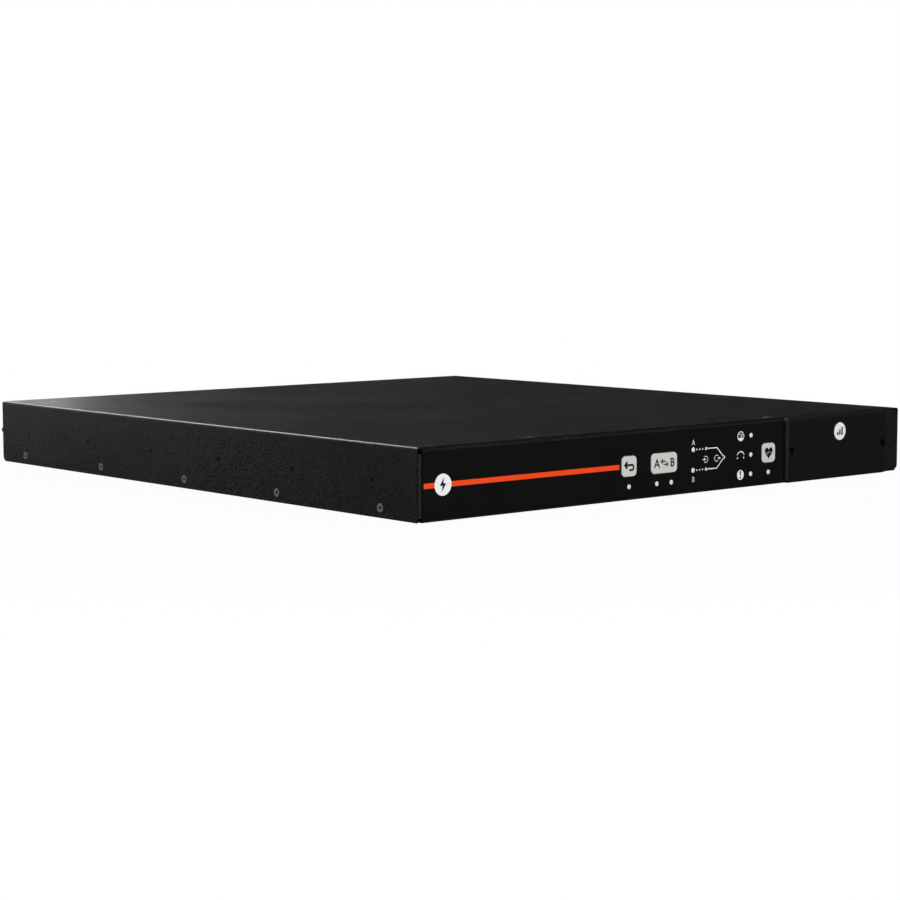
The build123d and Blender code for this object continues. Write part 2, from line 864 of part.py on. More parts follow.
blade_tip_y = rear_y + inlet_flange_thickness - inlet_cavity_depth + blade_length
blade_tab_y = inlet_back_y - blade_tab
with BuildPart() as inlet_blades:
    with BuildSketch(facing_front(blade_tip_y)):
        with Locations(*[centre for x in inlet_x for centre in blade_centres(x)]):
            Rectangle(blade_width, blade_thickness)
    extrude(amount=blade_tip_y - blade_tab_y)
save(inlet_blades.part, "inlet_blades")


# Breakers: a body behind the wall, a neck through it and a button that pops out when it trips
breaker_neck_y = rear_y + breaker_neck_proud
breaker_button_y = breaker_neck_y + breaker_button_proud
breaker_back_y = rear_inner_y - breaker_body_depth


def make_breaker(x):
    with BuildPart() as breaker:
        with BuildSketch(facing_front(rear_inner_y)):
            with Locations((x, socket_z)):
                Rectangle(breaker_body_width, breaker_body_height)
        extrude(amount=breaker_body_depth)
        with BuildSketch(facing_front(breaker_neck_y)):
            with Locations((x, socket_z)):
                Circle(breaker_neck_r)
        extrude(amount=breaker_neck_y - rear_inner_y)
        with BuildSketch(facing_front(breaker_neck_y)):
            with Locations((x, socket_z)):
                Circle(breaker_button_r + running_gap)
        extrude(amount=breaker_button_length, mode=Mode.SUBTRACT)
    return breaker.part


def make_breaker_button(x):
    with BuildPart() as button:
        with BuildSketch(facing_front(breaker_button_y)):
            with Locations((x, socket_z)):
                Circle(breaker_button_r)
        extrude(amount=breaker_button_length + breaker_button_proud - running_gap)
        chamfer(button.faces().sort_by(Axis.Y)[-1].edges(), fold_slit / 2)
    return button.part


save(make_breaker(breaker_x[0]), "breaker_a")
save(make_breaker(breaker_x[1]), "breaker_b")
save(make_breaker_button(breaker_x[0]), "breaker_button_a")
save(make_breaker_button(breaker_x[1]), "breaker_button_b")

with BuildPart() as breaker_nuts:
    with BuildSketch(facing_front(rear_y)):
        with Locations(*[(x, socket_z) for x in breaker_x]):
            RegularPolygon(breaker_nut_r, side_count=6)
            Circle(breaker_neck_r + screw_play, mode=Mode.SUBTRACT)
    extrude(amount=-breaker_nut_height)
save(breaker_nuts.part, "breaker_nuts")


# Socket strips: a row of sockets in one moulding, each a keyed well round a nose with three slots
def keyed_outline(outline_width, outline_height, cut):
    """A rectangle with its two lower corners cut, as a list of corners."""
    x, z = outline_width / 2, outline_height / 2
    return [(-x, z), (x, z), (x, cut - z), (x - cut, -z), (cut - x, -z), (-x, cut - z)]


def gang_places(x):
    first = x - gang_pitch * (gang_sockets - 1) / 2
    return [(first + gang_pitch * i, socket_z) for i in range(gang_sockets)]


def slot_centres(x):
    """Live and neutral side by side, and earth above them."""
    return [
        (x - slot_spread / 2, socket_z - slot_rise),
        (x + slot_spread / 2, socket_z - slot_rise),
        (x, socket_z + slot_rise),
    ]


def make_gang(gang_x):
    places = gang_places(gang_x)
    with BuildPart() as gang:
        with BuildSketch(facing_front(outlet_face_y)):
            with Locations((gang_x, socket_z)):
                Rectangle(gang_face_width, gang_face_height)
        extrude(amount=gang_face_thickness)
        chamfer(gang.faces().sort_by(Axis.Y)[-1].edges(), fold_slit)
        with BuildSketch(facing_front(rear_y)):
            with Locations((gang_x, socket_z)):
                Rectangle(gang_body_width, gang_body_height)
        extrude(amount=rear_y - outlet_back_y)
        with BuildSketch(facing_front(outlet_face_y)):
            with Locations(*places):
                Polygon(*keyed_outline(socket_width, socket_height, socket_cut), align=None)
                Polygon(
                    *keyed_outline(nose_width, nose_height, nose_cut), align=None, mode=Mode.SUBTRACT
                )
        extrude(amount=socket_depth, mode=Mode.SUBTRACT)
        with BuildSketch(facing_front(outlet_face_y)):
            with Locations(*[centre for x, _ in places for centre in slot_centres(x)]):
                Rectangle(slot_width, slot_height)
        extrude(amount=outlet_face_y - outlet_back_y, mode=Mode.SUBTRACT)
    return gang.part


save(make_gang(gang_centre_x[0]), "socket_strip_a")
save(make_gang(gang_centre_x[1]), "socket_strip_b")


def large_slot_centres():
    return [
        (large_outlet_x - blade_spread / 2, socket_z - blade_rise),
        (large_outlet_x + blade_spread / 2, socket_z - blade_rise),
        (large_outlet_x, socket_z + blade_rise),
    ]


# Large socket: a square well round a nose with three level slots
with BuildPart() as large_socket:
    with BuildSketch(facing_front(outlet_face_y)):
        with Locations((large_outlet_x, socket_z)):
            RectangleRounded(large_face_width, large_face_height, inlet_corner)
    extrude(amount=gang_face_thickness)
    chamfer(large_socket.faces().sort_by(Axis.Y)[-1].edges(), fold_slit)
    with BuildSketch(facing_front(rear_y)):
        with Locations((large_outlet_x, socket_z)):
            Rectangle(large_body_width, large_body_height)
    extrude(amount=rear_y - outlet_back_y)
    with BuildSketch(facing_front(outlet_face_y)):
        with Locations((large_outlet_x, socket_z)):
            Rectangle(large_socket_width, large_socket_height)
            Rectangle(large_nose_width, large_nose_height, mode=Mode.SUBTRACT)
    extrude(amount=socket_depth, mode=Mode.SUBTRACT)
    with BuildSketch(facing_front(outlet_face_y)):
        with Locations(*large_slot_centres()):
            Rectangle(large_slot_width, large_slot_height)
    extrude(amount=outlet_face_y - outlet_back_y, mode=Mode.SUBTRACT)
save(large_socket.part, "large_socket")

# Contacts: one at the bottom of each slot, with a tab behind the body; the neutral tabs are longer
contact_front_y = outlet_face_y - slot_depth
all_slots = [slot_centres(x) for gang_x in gang_centre_x for x, _ in gang_places(gang_x)]
large_slots = large_slot_centres()
with BuildPart() as socket_contacts:
    for row, tab in enumerate((contact_tab, neutral_tab, contact_tab)):
        with BuildSketch(facing_front(contact_front_y)):
            with Locations(*[slots[row] for slots in all_slots]):
                Rectangle(slot_width, slot_height)
            with Locations(large_slots[row]):
                Rectangle(large_slot_width, large_slot_height)
        extrude(amount=contact_front_y - outlet_back_y + tab)
save(socket_contacts.part, "socket_contacts")

# Comb bars: each runs along one row of tabs and has a finger to each of them
bar_low_z = socket_z - blade_rise - large_slot_height / 2 - bar_clear
bar_high_z = socket_z + blade_rise + large_slot_height / 2 + bar_clear
bar_start_x = gang_centre_x[0] - gang_body_width / 2 - bar_reach
near_lane_y = outlet_back_y - bar_lane - bar_width / 2
far_lane_y = outlet_back_y - neutral_tab + bar_width / 2


def make_bar(row, lane_y, bar_z, start_x):
    """A flat bar on one side of the tabs, with a finger across the gap to each tab of its row."""
    end_x = large_slots[row][0] + large_slot_width / 2
    above = bar_z > socket_z
    with BuildPart() as bar:
        with BuildSketch(Plane.XY.offset(bar_z)):
            with Locations(((start_x + end_x) / 2, lane_y)):
                Rectangle(end_x - start_x, bar_width)
        extrude(amount=bar_thickness if above else -bar_thickness)
        tabs = [(slots[row], slot_width, slot_height) for slots in all_slots]
        tabs.append((large_slots[row], large_slot_width, large_slot_height))
        for (tab_x, tab_z), tab_width, tab_height in tabs:
            tab_edge_z = tab_z + tab_height / 2 if above else tab_z - tab_height / 2
            with BuildSketch(Plane.XY.offset(bar_z)):
                with Locations((tab_x, lane_y)):
                    Rectangle(tab_width, bar_width)
            extrude(amount=tab_edge_z - bar_z)
    return bar.part


live_start_x = bar_start_x
neutral_start_x = bar_start_x + bar_stagger
earth_start_x = bar_start_x + 2 * bar_stagger
save(make_bar(0, near_lane_y, bar_low_z, live_start_x), "live_bar")
save(make_bar(1, far_lane_y, bar_low_z, neutral_start_x), "neutral_bar")
save(make_bar(2, near_lane_y, bar_high_z, earth_start_x), "earth_bar")

# Earth stud through the rear wall near its left end, with its washer and nut
stud_x = -width / 2 + stud_inset
with BuildPart() as earth_stud:
    with BuildSketch(facing_front(rear_inner_y)):
        with Locations((stud_x, stud_z)):
            Circle(stud_head_r)
    extrude(amount=stud_head_height)
    with BuildSketch(facing_front(rear_inner_y)):
        with Locations((stud_x, stud_z)):
            Circle(stud_r)
    extrude(amount=-(stud_length + pan_sheet))
    chamfer(earth_stud.faces().sort_by(Axis.Y)[-1].edges(), stud_r / 4)
save(earth_stud.part, "earth_stud")

with BuildPart() as earth_nut:
    with BuildSketch(facing_front(rear_y)):
        with Locations((stud_x, stud_z)):
            Circle(washer_r)
            Circle(stud_r + screw_play, mode=Mode.SUBTRACT)
    extrude(amount=-washer_thickness)
    with BuildSketch(facing_front(rear_y + washer_thickness)):
        with Locations((stud_x, stud_z)):
            RegularPolygon(nut_flat / 2, side_count=6, major_radius=False)
            Circle(stud_r + screw_play, mode=Mode.SUBTRACT)
    extrude(amount=-nut_height)
save(earth_nut.part, "earth_nut")

# Power board on nine posts
board_centre = ((board_left + board_right) / 2, from_front((board_front + board_rear) / 2))
post_pitch_x = (board_width - 2 * post_inset) / (post_columns - 1)
post_pitch_y = (board_length - 2 * post_inset) / (post_rows - 1)
board_post_places = [
    (
        board_left + post_inset + post_pitch_x * column,
        from_front(board_front + post_inset + post_pitch_y * row),
    )
    for column in range(post_columns)
    for row in range(post_rows)
]
with BuildPart() as power_board:
    with BuildSketch(Plane.XY.offset(board_z)):
        with Locations(board_centre):
            Rectangle(board_width, board_length)
        with Locations(*board_post_places):
            Rectangle(peg_hole, peg_hole, mode=Mode.SUBTRACT)
    extrude(amount=board_thickness)
save(power_board.part, "power_board")
save(make_posts(Plane.XY.offset(pan_sheet), board_post_places, post_height), "board_posts")

# Transfer relays, two for each input
with BuildPart() as transfer_relays:
    with BuildSketch(Plane.XY.offset(board_top)):
        with Locations((relay_first_x + relay_pitch * (relay_count - 1) / 2, from_front(relay_y))):
            with GridLocations(relay_pitch, relay_length, relay_count, 1):
                Rectangle(relay_width, relay_length)
    extrude(amount=relay_height)
    chamfer(transfer_relays.faces().group_by(Axis.Z)[-1].edges(), relay_edge)
save(transfer_relays.part, "transfer_relays")

# Boxed filter chokes, one for each input
with BuildPart() as input_filters:
    with BuildSketch(Plane.XY.offset(board_top)):
        with Locations(*[(x, from_front(filter_y)) for x in filter_x]):
            Rectangle(filter_width, filter_length)
    extrude(amount=filter_height)
    chamfer(input_filters.faces().group_by(Axis.Z)[-1].edges(), relay_edge)
save(input_filters.part, "input_filters")

# Small supplies for the electronics, one on each input
with BuildPart() as control_supplies:
    with BuildSketch(Plane.XY.offset(board_top)):
        with Locations(*[(x, from_front(supply_y)) for x in supply_x]):
            Rectangle(supply_width, supply_length)
    extrude(amount=supply_height)
    chamfer(control_supplies.faces().group_by(Axis.Z)[-1].edges(), relay_edge)
save(control_supplies.part, "control_supplies")

with BuildPart() as capacitors:
    with BuildSketch(Plane.XY.offset(board_top)):
        with Locations((capacitor_x, from_front(capacitor_y))):
            with GridLocations(capacitor_pitch, capacitor_pitch, capacitor_count, 1):
                Circle(capacitor_r)
    extrude(amount=capacitor_height)
save(capacitors.part, "capacitors")

# Current sensors: upright blocks with a window
with BuildPart() as current_sensors:
    with BuildSketch(facing_front(from_front(sensor_y))):
        with Locations((relay_first_x + sensor_pitch, board_top + sensor_height / 2)):
            with GridLocations(sensor_pitch, sensor_height, sensor_count, 1):
                Rectangle(sensor_width, sensor_height)
                Rectangle(sensor_window, sensor_window, mode=Mode.SUBTRACT)
    extrude(amount=-sensor_length)
save(current_sensors.part, "current_sensors")

# Terminal blocks at the rear of the board: one for each input, in line with it, and one for the bars
output_terminal_x = bar_start_x + bar_stagger + bar_width
terminal_back_y = from_front(terminal_y + terminal_length)
input_terminal_x = [x + breaker_offset / 2 for x in inlet_x]
with BuildPart() as terminal_blocks:
    with BuildSketch(Plane.XY.offset(board_top)):
        with Locations(*[(x, from_front(terminal_y + terminal_length / 2)) for x in input_terminal_x]):
            Rectangle(terminal_width, terminal_length)
        with Locations((output_terminal_x, from_front(terminal_y + terminal_length / 2))):
            Rectangle(output_terminal_width, terminal_length)
    extrude(amount=terminal_height)
save(terminal_blocks.part, "terminal_blocks")

with BuildPart() as control_chip:
    with BuildSketch(Plane.XY.offset(board_top)):
        with Locations((chip_x, from_front(chip_y))):
            Rectangle(chip_size, chip_size)
    extrude(amount=chip_height)
save(control_chip.part, "control_chip")

# Headers and the ribbon between the control board and the power board
header_centre_y = from_front(header_y)
with BuildPart() as ribbon_headers:
    with BuildSketch(facing_front(control_board_back_y)):
        with Locations((header_x, control_z)):
            Rectangle(header_width, header_depth)
    extrude(amount=-header_height)
    with BuildSketch(Plane.XY.offset(board_top)):
        with Locations((header_x, header_centre_y)):
            Rectangle(header_width, header_depth)
    extrude(amount=header_height)
save(ribbon_headers.part, "ribbon_headers")

with BuildPart() as ribbon:
    with BuildSketch(Plane.YZ.offset(header_x - ribbon_width / 2)):
        with BuildLine():
            FilletPolyline(
                (control_board_back_y + header_height, control_z),
                (header_centre_y, control_z),
                (header_centre_y, board_top + header_height),
                radius=ribbon_bend,
            )
            offset(amount=ribbon_thickness, side=Side.LEFT)
        make_face()
    extrude(amount=ribbon_width)
save(ribbon.part, "ribbon")


# Leads: flat strips from the inlets and breakers to the terminals, and from the terminals to the bars
def make_leads(runs):
    """Leads along Y, each given by its X, its Z, and the Y of its front and rear ends."""
    with BuildPart() as leads:
        for x, z, start_y, end_y in runs:
            with BuildSketch(facing_front(end_y)):
                with Locations((x, z)):
                    Rectangle(lead_width, lead_thickness)
            extrude(amount=end_y - start_y)
    return leads.part


# Links: a flat strip from each inlet's live blade, under its neutral blade, to the breaker
link_y = blade_tab_y + bar_width / 2
link_top_z = socket_z - blade_rise - blade_thickness / 2 - bar_clear
with BuildPart() as breaker_links:
    for x in inlet_x:
        live_x = x - blade_spread / 2
        with BuildSketch(Plane.XY.offset(link_top_z)):
            with Locations(((live_x + x + breaker_offset) / 2, link_y)):
                Rectangle(breaker_offset + blade_spread / 2 + bar_width, bar_width)
        extrude(amount=-bar_thickness)
        with BuildSketch(Plane.XY.offset(link_top_z)):
            with Locations((live_x, link_y)):
                Rectangle(bar_width, bar_width)
        extrude(amount=bar_clear)
        with BuildSketch(facing_front(link_y)):
            with Locations((x + breaker_offset, link_top_z - bar_thickness / 2)):
                Rectangle(bar_width, bar_thickness)
        extrude(amount=link_y - breaker_back_y)
save(breaker_links.part, "breaker_links")


def input_runs(x):
    """Neutral and earth come from the inlet's blades, and live from its breaker."""
    live, neutral, earth = blade_centres(x)
    return [
        (*neutral, terminal_back_y, blade_tab_y),
        (*earth, terminal_back_y, blade_tab_y),
        (x + breaker_offset, live[1], terminal_back_y, breaker_back_y),
    ]


save(make_leads(input_runs(inlet_x[0])), "input_leads_a")
save(make_leads(input_runs(inlet_x[1])), "input_leads_b")

low_bar_z = bar_low_z - bar_thickness / 2
high_bar_z = bar_high_z + bar_thickness / 2
near_edge_y = near_lane_y - bar_width / 2
far_edge_y = far_lane_y - bar_width / 2
output_runs = [
    (live_start_x + bar_width, low_bar_z, terminal_back_y, near_edge_y),
    (neutral_start_x + bar_width, low_bar_z, terminal_back_y, far_edge_y),
    (earth_start_x + bar_width, high_bar_z, terminal_back_y, near_edge_y),
]
save(make_leads(output_runs), "output_leads")
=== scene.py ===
import json
from math import cos, pi, radians, sin

import bmesh
import bpy
from bpy.props import FloatProperty, FloatVectorProperty, IntProperty, PointerProperty
from mathutils import Matrix, Vector

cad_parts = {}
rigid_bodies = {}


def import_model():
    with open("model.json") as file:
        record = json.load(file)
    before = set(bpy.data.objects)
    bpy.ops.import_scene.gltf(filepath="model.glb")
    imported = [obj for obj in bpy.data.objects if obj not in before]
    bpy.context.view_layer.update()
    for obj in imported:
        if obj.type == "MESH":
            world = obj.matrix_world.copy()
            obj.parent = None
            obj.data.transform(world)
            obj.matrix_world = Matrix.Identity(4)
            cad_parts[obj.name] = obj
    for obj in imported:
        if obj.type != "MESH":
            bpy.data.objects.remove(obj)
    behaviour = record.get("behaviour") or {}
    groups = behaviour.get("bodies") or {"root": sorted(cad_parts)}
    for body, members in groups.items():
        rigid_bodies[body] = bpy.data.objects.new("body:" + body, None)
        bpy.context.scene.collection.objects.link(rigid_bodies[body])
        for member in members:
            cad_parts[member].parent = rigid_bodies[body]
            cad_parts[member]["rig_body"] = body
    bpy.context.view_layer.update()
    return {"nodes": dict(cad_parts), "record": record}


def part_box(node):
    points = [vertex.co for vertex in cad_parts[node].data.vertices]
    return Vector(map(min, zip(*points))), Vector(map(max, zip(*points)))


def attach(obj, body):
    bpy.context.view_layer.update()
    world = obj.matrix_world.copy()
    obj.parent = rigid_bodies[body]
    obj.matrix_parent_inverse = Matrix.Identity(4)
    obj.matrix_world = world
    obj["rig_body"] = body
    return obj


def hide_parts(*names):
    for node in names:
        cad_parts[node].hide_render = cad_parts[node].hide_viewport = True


bl_info = {
    "name": "Rack power distribution unit",
    "version": (1, 0, 0),
    "blender": (4, 5, 0),
    "location": "3D View > Sidebar > Power Unit",
    "description": "Gives the solids of a rack power distribution unit their finishes and printed marks",
    "category": "Object",
}

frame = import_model()

MM = 0.001
CASING_BODY = "chassis"
MERGE_DISTANCE = 0.002 * MM
FLAT_ANGLE = radians(0.5)
SHARP_ANGLE = radians(38.0)
EDGE_SEGMENTS = 2
MITRE_LIMIT = 0.3
WHITE = (1.0, 1.0, 1.0, 1.0)


def screen_colour(red, green, blue):
    """A linear colour from the values that a screen shows, from 0 to 255."""
    shares = [value / 255 for value in (red, green, blue)]
    return tuple(s / 12.92 if s <= 0.04045 else ((s + 0.055) / 1.055) ** 2.4 for s in shares)


def colour_setting(name, description, values):
    """A colour, whose default is given here as a screen shows it."""
    return FloatVectorProperty(
        name=name, description=description, subtype="COLOR", min=0.0, max=1.0,
        default=screen_colour(*values),
    )


def length_setting(name, description, default, low=0.0):
    """A length, whose default and lowest value are given here in millimetres."""
    return FloatProperty(
        name=name, description=description, subtype="DISTANCE", unit="LENGTH", precision=6,
        min=low * MM, default=default * MM,
    )


def angle_setting(name, description, degrees):
    return FloatProperty(
        name=name, description=description, subtype="ANGLE", default=radians(degrees)
    )


class FinishSettings(bpy.types.PropertyGroup):
    """Colours and grain of the main finishes."""

    coat_colour: colour_setting("Powder coat", "Colour of the folded sheets", (24, 24, 23))
    fascia_colour: colour_setting("Fascia", "Colour of the flat front plate", (11, 11, 11))
    accent_colour: colour_setting("Accent", "Colour of the stripe", (250, 72, 8))
    key_colour: colour_setting("Keys", "Colour of the three keys", (213, 214, 208))
    print_colour: colour_setting("Print", "Colour of the printed marks", (246, 246, 246))
    coat_grain: length_setting("Coat grain", "Size of the powder coat's bumps", 1.2, low=0.1)
    coat_depth: length_setting("Coat depth", "Height of the powder coat's bumps", 0.055)


class EdgeSettings(bpy.types.PropertyGroup):
    """Rounding of hard edges."""

    sheet_edge: length_setting("Sheet edge", "Rounding of cut sheet edges under the coat", 0.22)
    moulded_edge: length_setting("Moulded edge", "Rounding of moulded edges", 0.3)
    fine_edge: length_setting("Fine edge", "Rounding of keys, inlays and small parts", 0.06)


class PrintSettings(bpy.types.PropertyGroup):
    """Printed marks on the front."""

    thickness: length_setting("Ink thickness", "How far a mark stands off its surface", 0.03)
    line: length_setting("Line", "Width of the diagram's lines", 0.62, low=0.1)
    letter_height: length_setting("Letter height", "Height of the input letters", 3.2, low=1.0)
    letter_line: length_setting("Letter line", "Width of the input letters' strokes", 0.42, low=0.1)
    key_letter_height: length_setting(
        "Key letter height", "Height of the letters on the wide key", 5.6, low=1.0
    )
    icon_radius: length_setting("Icon radius", "Radius of the round status icons", 3.2, low=1.0)
    feed_dots: IntProperty(
        name="Feed dots", description="Dots between an input's light and its line", min=1, default=3,
    )


class ScrewSettings(bpy.types.PropertyGroup):
    """Screw heads, threads, light lenses and the gap round a key."""

    hexagon: length_setting("Hexagon", "Radius of the hexagon in a screw's head", 1.25, low=0.1)
    hexagon_depth: length_setting(
        "Hexagon depth", "Depth of the hexagon in a screw's head", 1.0, low=0.1
    )
    thread_pitch: length_setting("Thread pitch", "Pitch of the fine threads", 0.7, low=0.1)
    lens_height: length_setting("Lens height", "How far a light's lens stands off the fascia", 0.3)
    lens_gap: length_setting("Lens gap", "Dark ring between a light's lens and its hole", 0.46)
    key_gap: length_setting("Key gap", "How far a key's cap stands back from its solid's sides", 0.35)


class StageSettings(bpy.types.PropertyGroup):
    """Camera and floor."""

    azimuth: angle_setting("Azimuth", "Turn of the camera about the upright axis", -40.822)
    elevation: angle_setting("Elevation", "Height of the camera as an angle", 5.578)
    roll: angle_setting("Roll", "Roll of the camera", -0.068)
    distance: FloatProperty(
        name="Distance", description="Camera to target", subtype="DISTANCE", unit="LENGTH",
        default=1.54017,
    )
    target: FloatVectorProperty(
        name="Target", description="What the camera looks at", subtype="TRANSLATION",
        unit="LENGTH", default=(-0.02185, -0.035, 0.01505),
    )
    lens: FloatProperty(name="Lens", description="Focal length in millimetres", default=88.715)
    white: FloatProperty(
        name="White floor", description="Share of plain white in the floor that the camera sees",
        subtype="FACTOR", min=0.0, max=1.0, default=0.96,
    )


def settings(name):
    return getattr(bpy.context.scene, "power_unit_" + name)


# Node helpers: every tree here is built with these


def add_node(tree, kind, inputs=None, **values):
    """Adds a node, sets its own values, and gives its inputs numbers or other nodes' outputs."""
    node = tree.nodes.new(kind)
    for name, value in values.items():
        setattr(node, name, value)
    for key, value in (inputs or {}).items():
        if isinstance(value, bpy.types.NodeSocket):
            tree.links.new(value, node.inputs[key])
        else:
            node.inputs[key].default_value = value
    return node


def math(tree, operation, first, second=0.0):
    node = add_node(tree, "ShaderNodeMath", {0: first, 1: second}, operation=operation)
    return node.outputs[0]


def ramp(tree, value, low, high, to_low=0.0, to_high=1.0, smooth=False):
    """Maps a value from one range to another, and holds it there."""
    node = add_node(
        tree,
        "ShaderNodeMapRange",
        {"Value": value, "From Min": low, "From Max": high, "To Min": to_low, "To Max": to_high},
        interpolation_type="SMOOTHSTEP" if smooth else "LINEAR",
    )
    return node.outputs["Result"]


def empty_tree(owner):
    """The node tree of a material or the world, cleared."""
    owner.use_nodes = True
    owner.node_tree.nodes.clear()
    return owner.node_tree


def open_group(name, kind, inputs, outputs):
    """A new node group with named sockets, and its input and output nodes."""
    group = bpy.data.node_groups.new(name, kind)
    for label, socket_kind, default in inputs:
        socket = group.interface.new_socket(label, in_out="INPUT", socket_type=socket_kind)
        if default is not None:
            socket.default_value = default
    for label, socket_kind in outputs:
        group.interface.new_socket(label, in_out="OUTPUT", socket_type=socket_kind)
    return group, group.nodes.new("NodeGroupInput"), group.nodes.new("NodeGroupOutput")


# Finishes: three effects that the materials share, and one function that makes a material


def noise(tree, vector, scale, detail, roughness):
    node = add_node(
        tree, "ShaderNodeTexNoise",
        {"Vector": vector, "Scale": scale, "Detail": detail, "Roughness": roughness},
    )
    return node.outputs["Fac"]


def build_grain_group():
    """Rounded bumps with finer ones on them, as on powder coat and spark-eroded plastic."""
    group, given, result = open_group(
        "surface_grain",
        "ShaderNodeTree",
        [("Vector", "NodeSocketVector", None), ("Size", "NodeSocketFloat", MM),
         ("Fineness", "NodeSocketFloat", 0.3)],
        [("Height", "NodeSocketFloat"), ("Tone", "NodeSocketFloat")],
    )
    finer = 3.3
    scale = math(group, "DIVIDE", 1.0, given.outputs["Size"])
    coarse = noise(group, given.outputs["Vector"], scale, 2.0, 0.5)
    fine = noise(group, given.outputs["Vector"], math(group, "MULTIPLY", scale, finer), 1.0, 0.5)
    mixed = add_node(
        group, "ShaderNodeMix", {"Factor": given.outputs["Fineness"], "A": coarse, "B": fine}
    )
    bumps = ramp(group, mixed.outputs["Result"], 0.3, 0.7, smooth=True)
    group.links.new(bumps, result.inputs["Height"])
    group.links.new(ramp(group, coarse, 0.35, 0.65), result.inputs["Tone"])


def build_smudge_group():
    """Wide soft patches, as handling and uneven curing leave."""
    group, given, result = open_group(
        "soft_smudges",
        "ShaderNodeTree",
        [("Vector", "NodeSocketVector", None), ("Size", "NodeSocketFloat", 30 * MM)],
        [("Mask", "NodeSocketFloat")],
    )
    scale = math(group, "DIVIDE", 1.0, given.outputs["Size"])
    patches = noise(group, given.outputs["Vector"], scale, 4.0, 0.6)
    group.links.new(ramp(group, patches, 0.35, 0.65, smooth=True), result.inputs["Mask"])


def build_drawn_group():
    """Fine lines along one direction, as rolling and turning leave on bare metal."""
    group, given, result = open_group(
        "drawn_lines",
        "ShaderNodeTree",
        [("Vector", "NodeSocketVector", None), ("Size", "NodeSocketFloat", 0.2 * MM),
         ("Stretch", "NodeSocketVector", (1.0, 1.0, 0.05))],
        [("Height", "NodeSocketFloat"), ("Tone", "NodeSocketFloat")],
    )
    stretched = add_node(
        group, "ShaderNodeVectorMath",
        {0: given.outputs["Vector"], 1: given.outputs["Stretch"]}, operation="MULTIPLY",
    )
    scale = math(group, "DIVIDE", 1.0, given.outputs["Size"])
    lines = noise(group, stretched.outputs[0], scale, 2.0, 0.6)
    group.links.new(lines, result.inputs["Height"])
    group.links.new(ramp(group, lines, 0.3, 0.7), result.inputs["Tone"])


def make_finish(name, colour, roughness, grain, depth, tone=0.06, spread=0.05, patch=30 * MM,
                stretch=None, **shader_values):
    """A material with grain in its bump and colour, and soft patches in its roughness."""
    material = bpy.data.materials.get(name) or bpy.data.materials.new(name)
    material.diffuse_color = (*colour, 1.0)
    tree = empty_tree(material)
    place = add_node(tree, "ShaderNodeTexCoord").outputs["Object"]
    surface = add_node(tree, "ShaderNodeGroup",
                       node_tree=bpy.data.node_groups["drawn_lines" if stretch else "surface_grain"])
    tree.links.new(place, surface.inputs["Vector"])
    surface.inputs["Size"].default_value = grain
    if stretch:
        surface.inputs["Stretch"].default_value = stretch
    smudges = add_node(tree, "ShaderNodeGroup", node_tree=bpy.data.node_groups["soft_smudges"])
    tree.links.new(place, smudges.inputs["Vector"])
    smudges.inputs["Size"].default_value = patch
    tinted = add_node(
        tree, "ShaderNodeMix",
        {"Factor": surface.outputs["Tone"],
         "A": (*[min(1.0, part * (1 - tone)) for part in colour], 1.0),
         "B": (*[min(1.0, part * (1 + tone)) for part in colour], 1.0)},
        data_type="RGBA",
    )
    rough = ramp(tree, smudges.outputs["Mask"], 0.0, 1.0, roughness - spread, roughness + spread)
    bump = add_node(tree, "ShaderNodeBump", {"Height": surface.outputs["Height"], "Distance": depth})
    shader = add_node(tree, "ShaderNodeBsdfPrincipled", shader_values)
    tree.links.new(mix_result(tinted), shader.inputs["Base Color"])
    tree.links.new(rough, shader.inputs["Roughness"])
    tree.links.new(bump.outputs["Normal"], shader.inputs["Normal"])
    output = add_node(tree, "ShaderNodeOutputMaterial")
    tree.links.new(shader.outputs["BSDF"], output.inputs["Surface"])
    return material


def mix_result(node):
    """The colour output of a Mix node, which has one output of each kind under one name."""
    return next(socket for socket in node.outputs if socket.enabled)


def make_coated_finishes():
    look = settings("finish")
    make_finish("powder_coat", look.coat_colour, 0.32, look.coat_grain, look.coat_depth,
                tone=0.8, spread=0.03, patch=60 * MM)
    make_finish("black_steel", screen_colour(122, 122, 119), 0.4, 0.25 * MM, 0.006 * MM,
                tone=0.1, Metallic=0.2)


def make_moulded_finishes():
    look = settings("finish")
    make_finish("fascia_black", look.fascia_colour, 0.42, 0.22 * MM, 0.006 * MM, tone=0.1)
    make_finish("module_plastic", screen_colour(16, 16, 16), 0.46, 0.8 * MM, 0.05 * MM, tone=0.5)
    make_finish("accent_orange", look.accent_colour, 0.4, 0.3 * MM, 0.004 * MM, tone=0.03)
    make_finish("badge_white", look.print_colour, 0.42, 0.3 * MM, 0.003 * MM, tone=0.02)
    make_finish("key_grey", look.key_colour, 0.45, 0.35 * MM, 0.012 * MM, tone=0.05)
    make_finish("socket_plastic", screen_colour(30, 30, 31), 0.34, 0.35 * MM, 0.012 * MM, tone=0.1)
    make_finish("inner_plastic", screen_colour(44, 45, 48), 0.45, 0.35 * MM, 0.01 * MM, tone=0.1)
    make_finish("relay_plastic", screen_colour(30, 62, 120), 0.38, 0.4 * MM, 0.008 * MM)
    make_finish("circuit_board", screen_colour(20, 78, 46), 0.34, 1.4 * MM, 0.01 * MM, tone=0.18)
    make_finish("lead_jacket", screen_colour(60, 61, 64), 0.5, 0.5 * MM, 0.01 * MM, tone=0.1)


def make_lens_finish():
    lens = make_finish(
        "light_clear", screen_colour(236, 236, 233), 0.22, 0.5 * MM, 0.003 * MM, tone=0.02
    )
    shader = next(node for node in lens.node_tree.nodes if node.type == "BSDF_PRINCIPLED")
    shader.inputs["Coat Weight"].default_value = 0.5
    shader.inputs["Coat Roughness"].default_value = 0.08


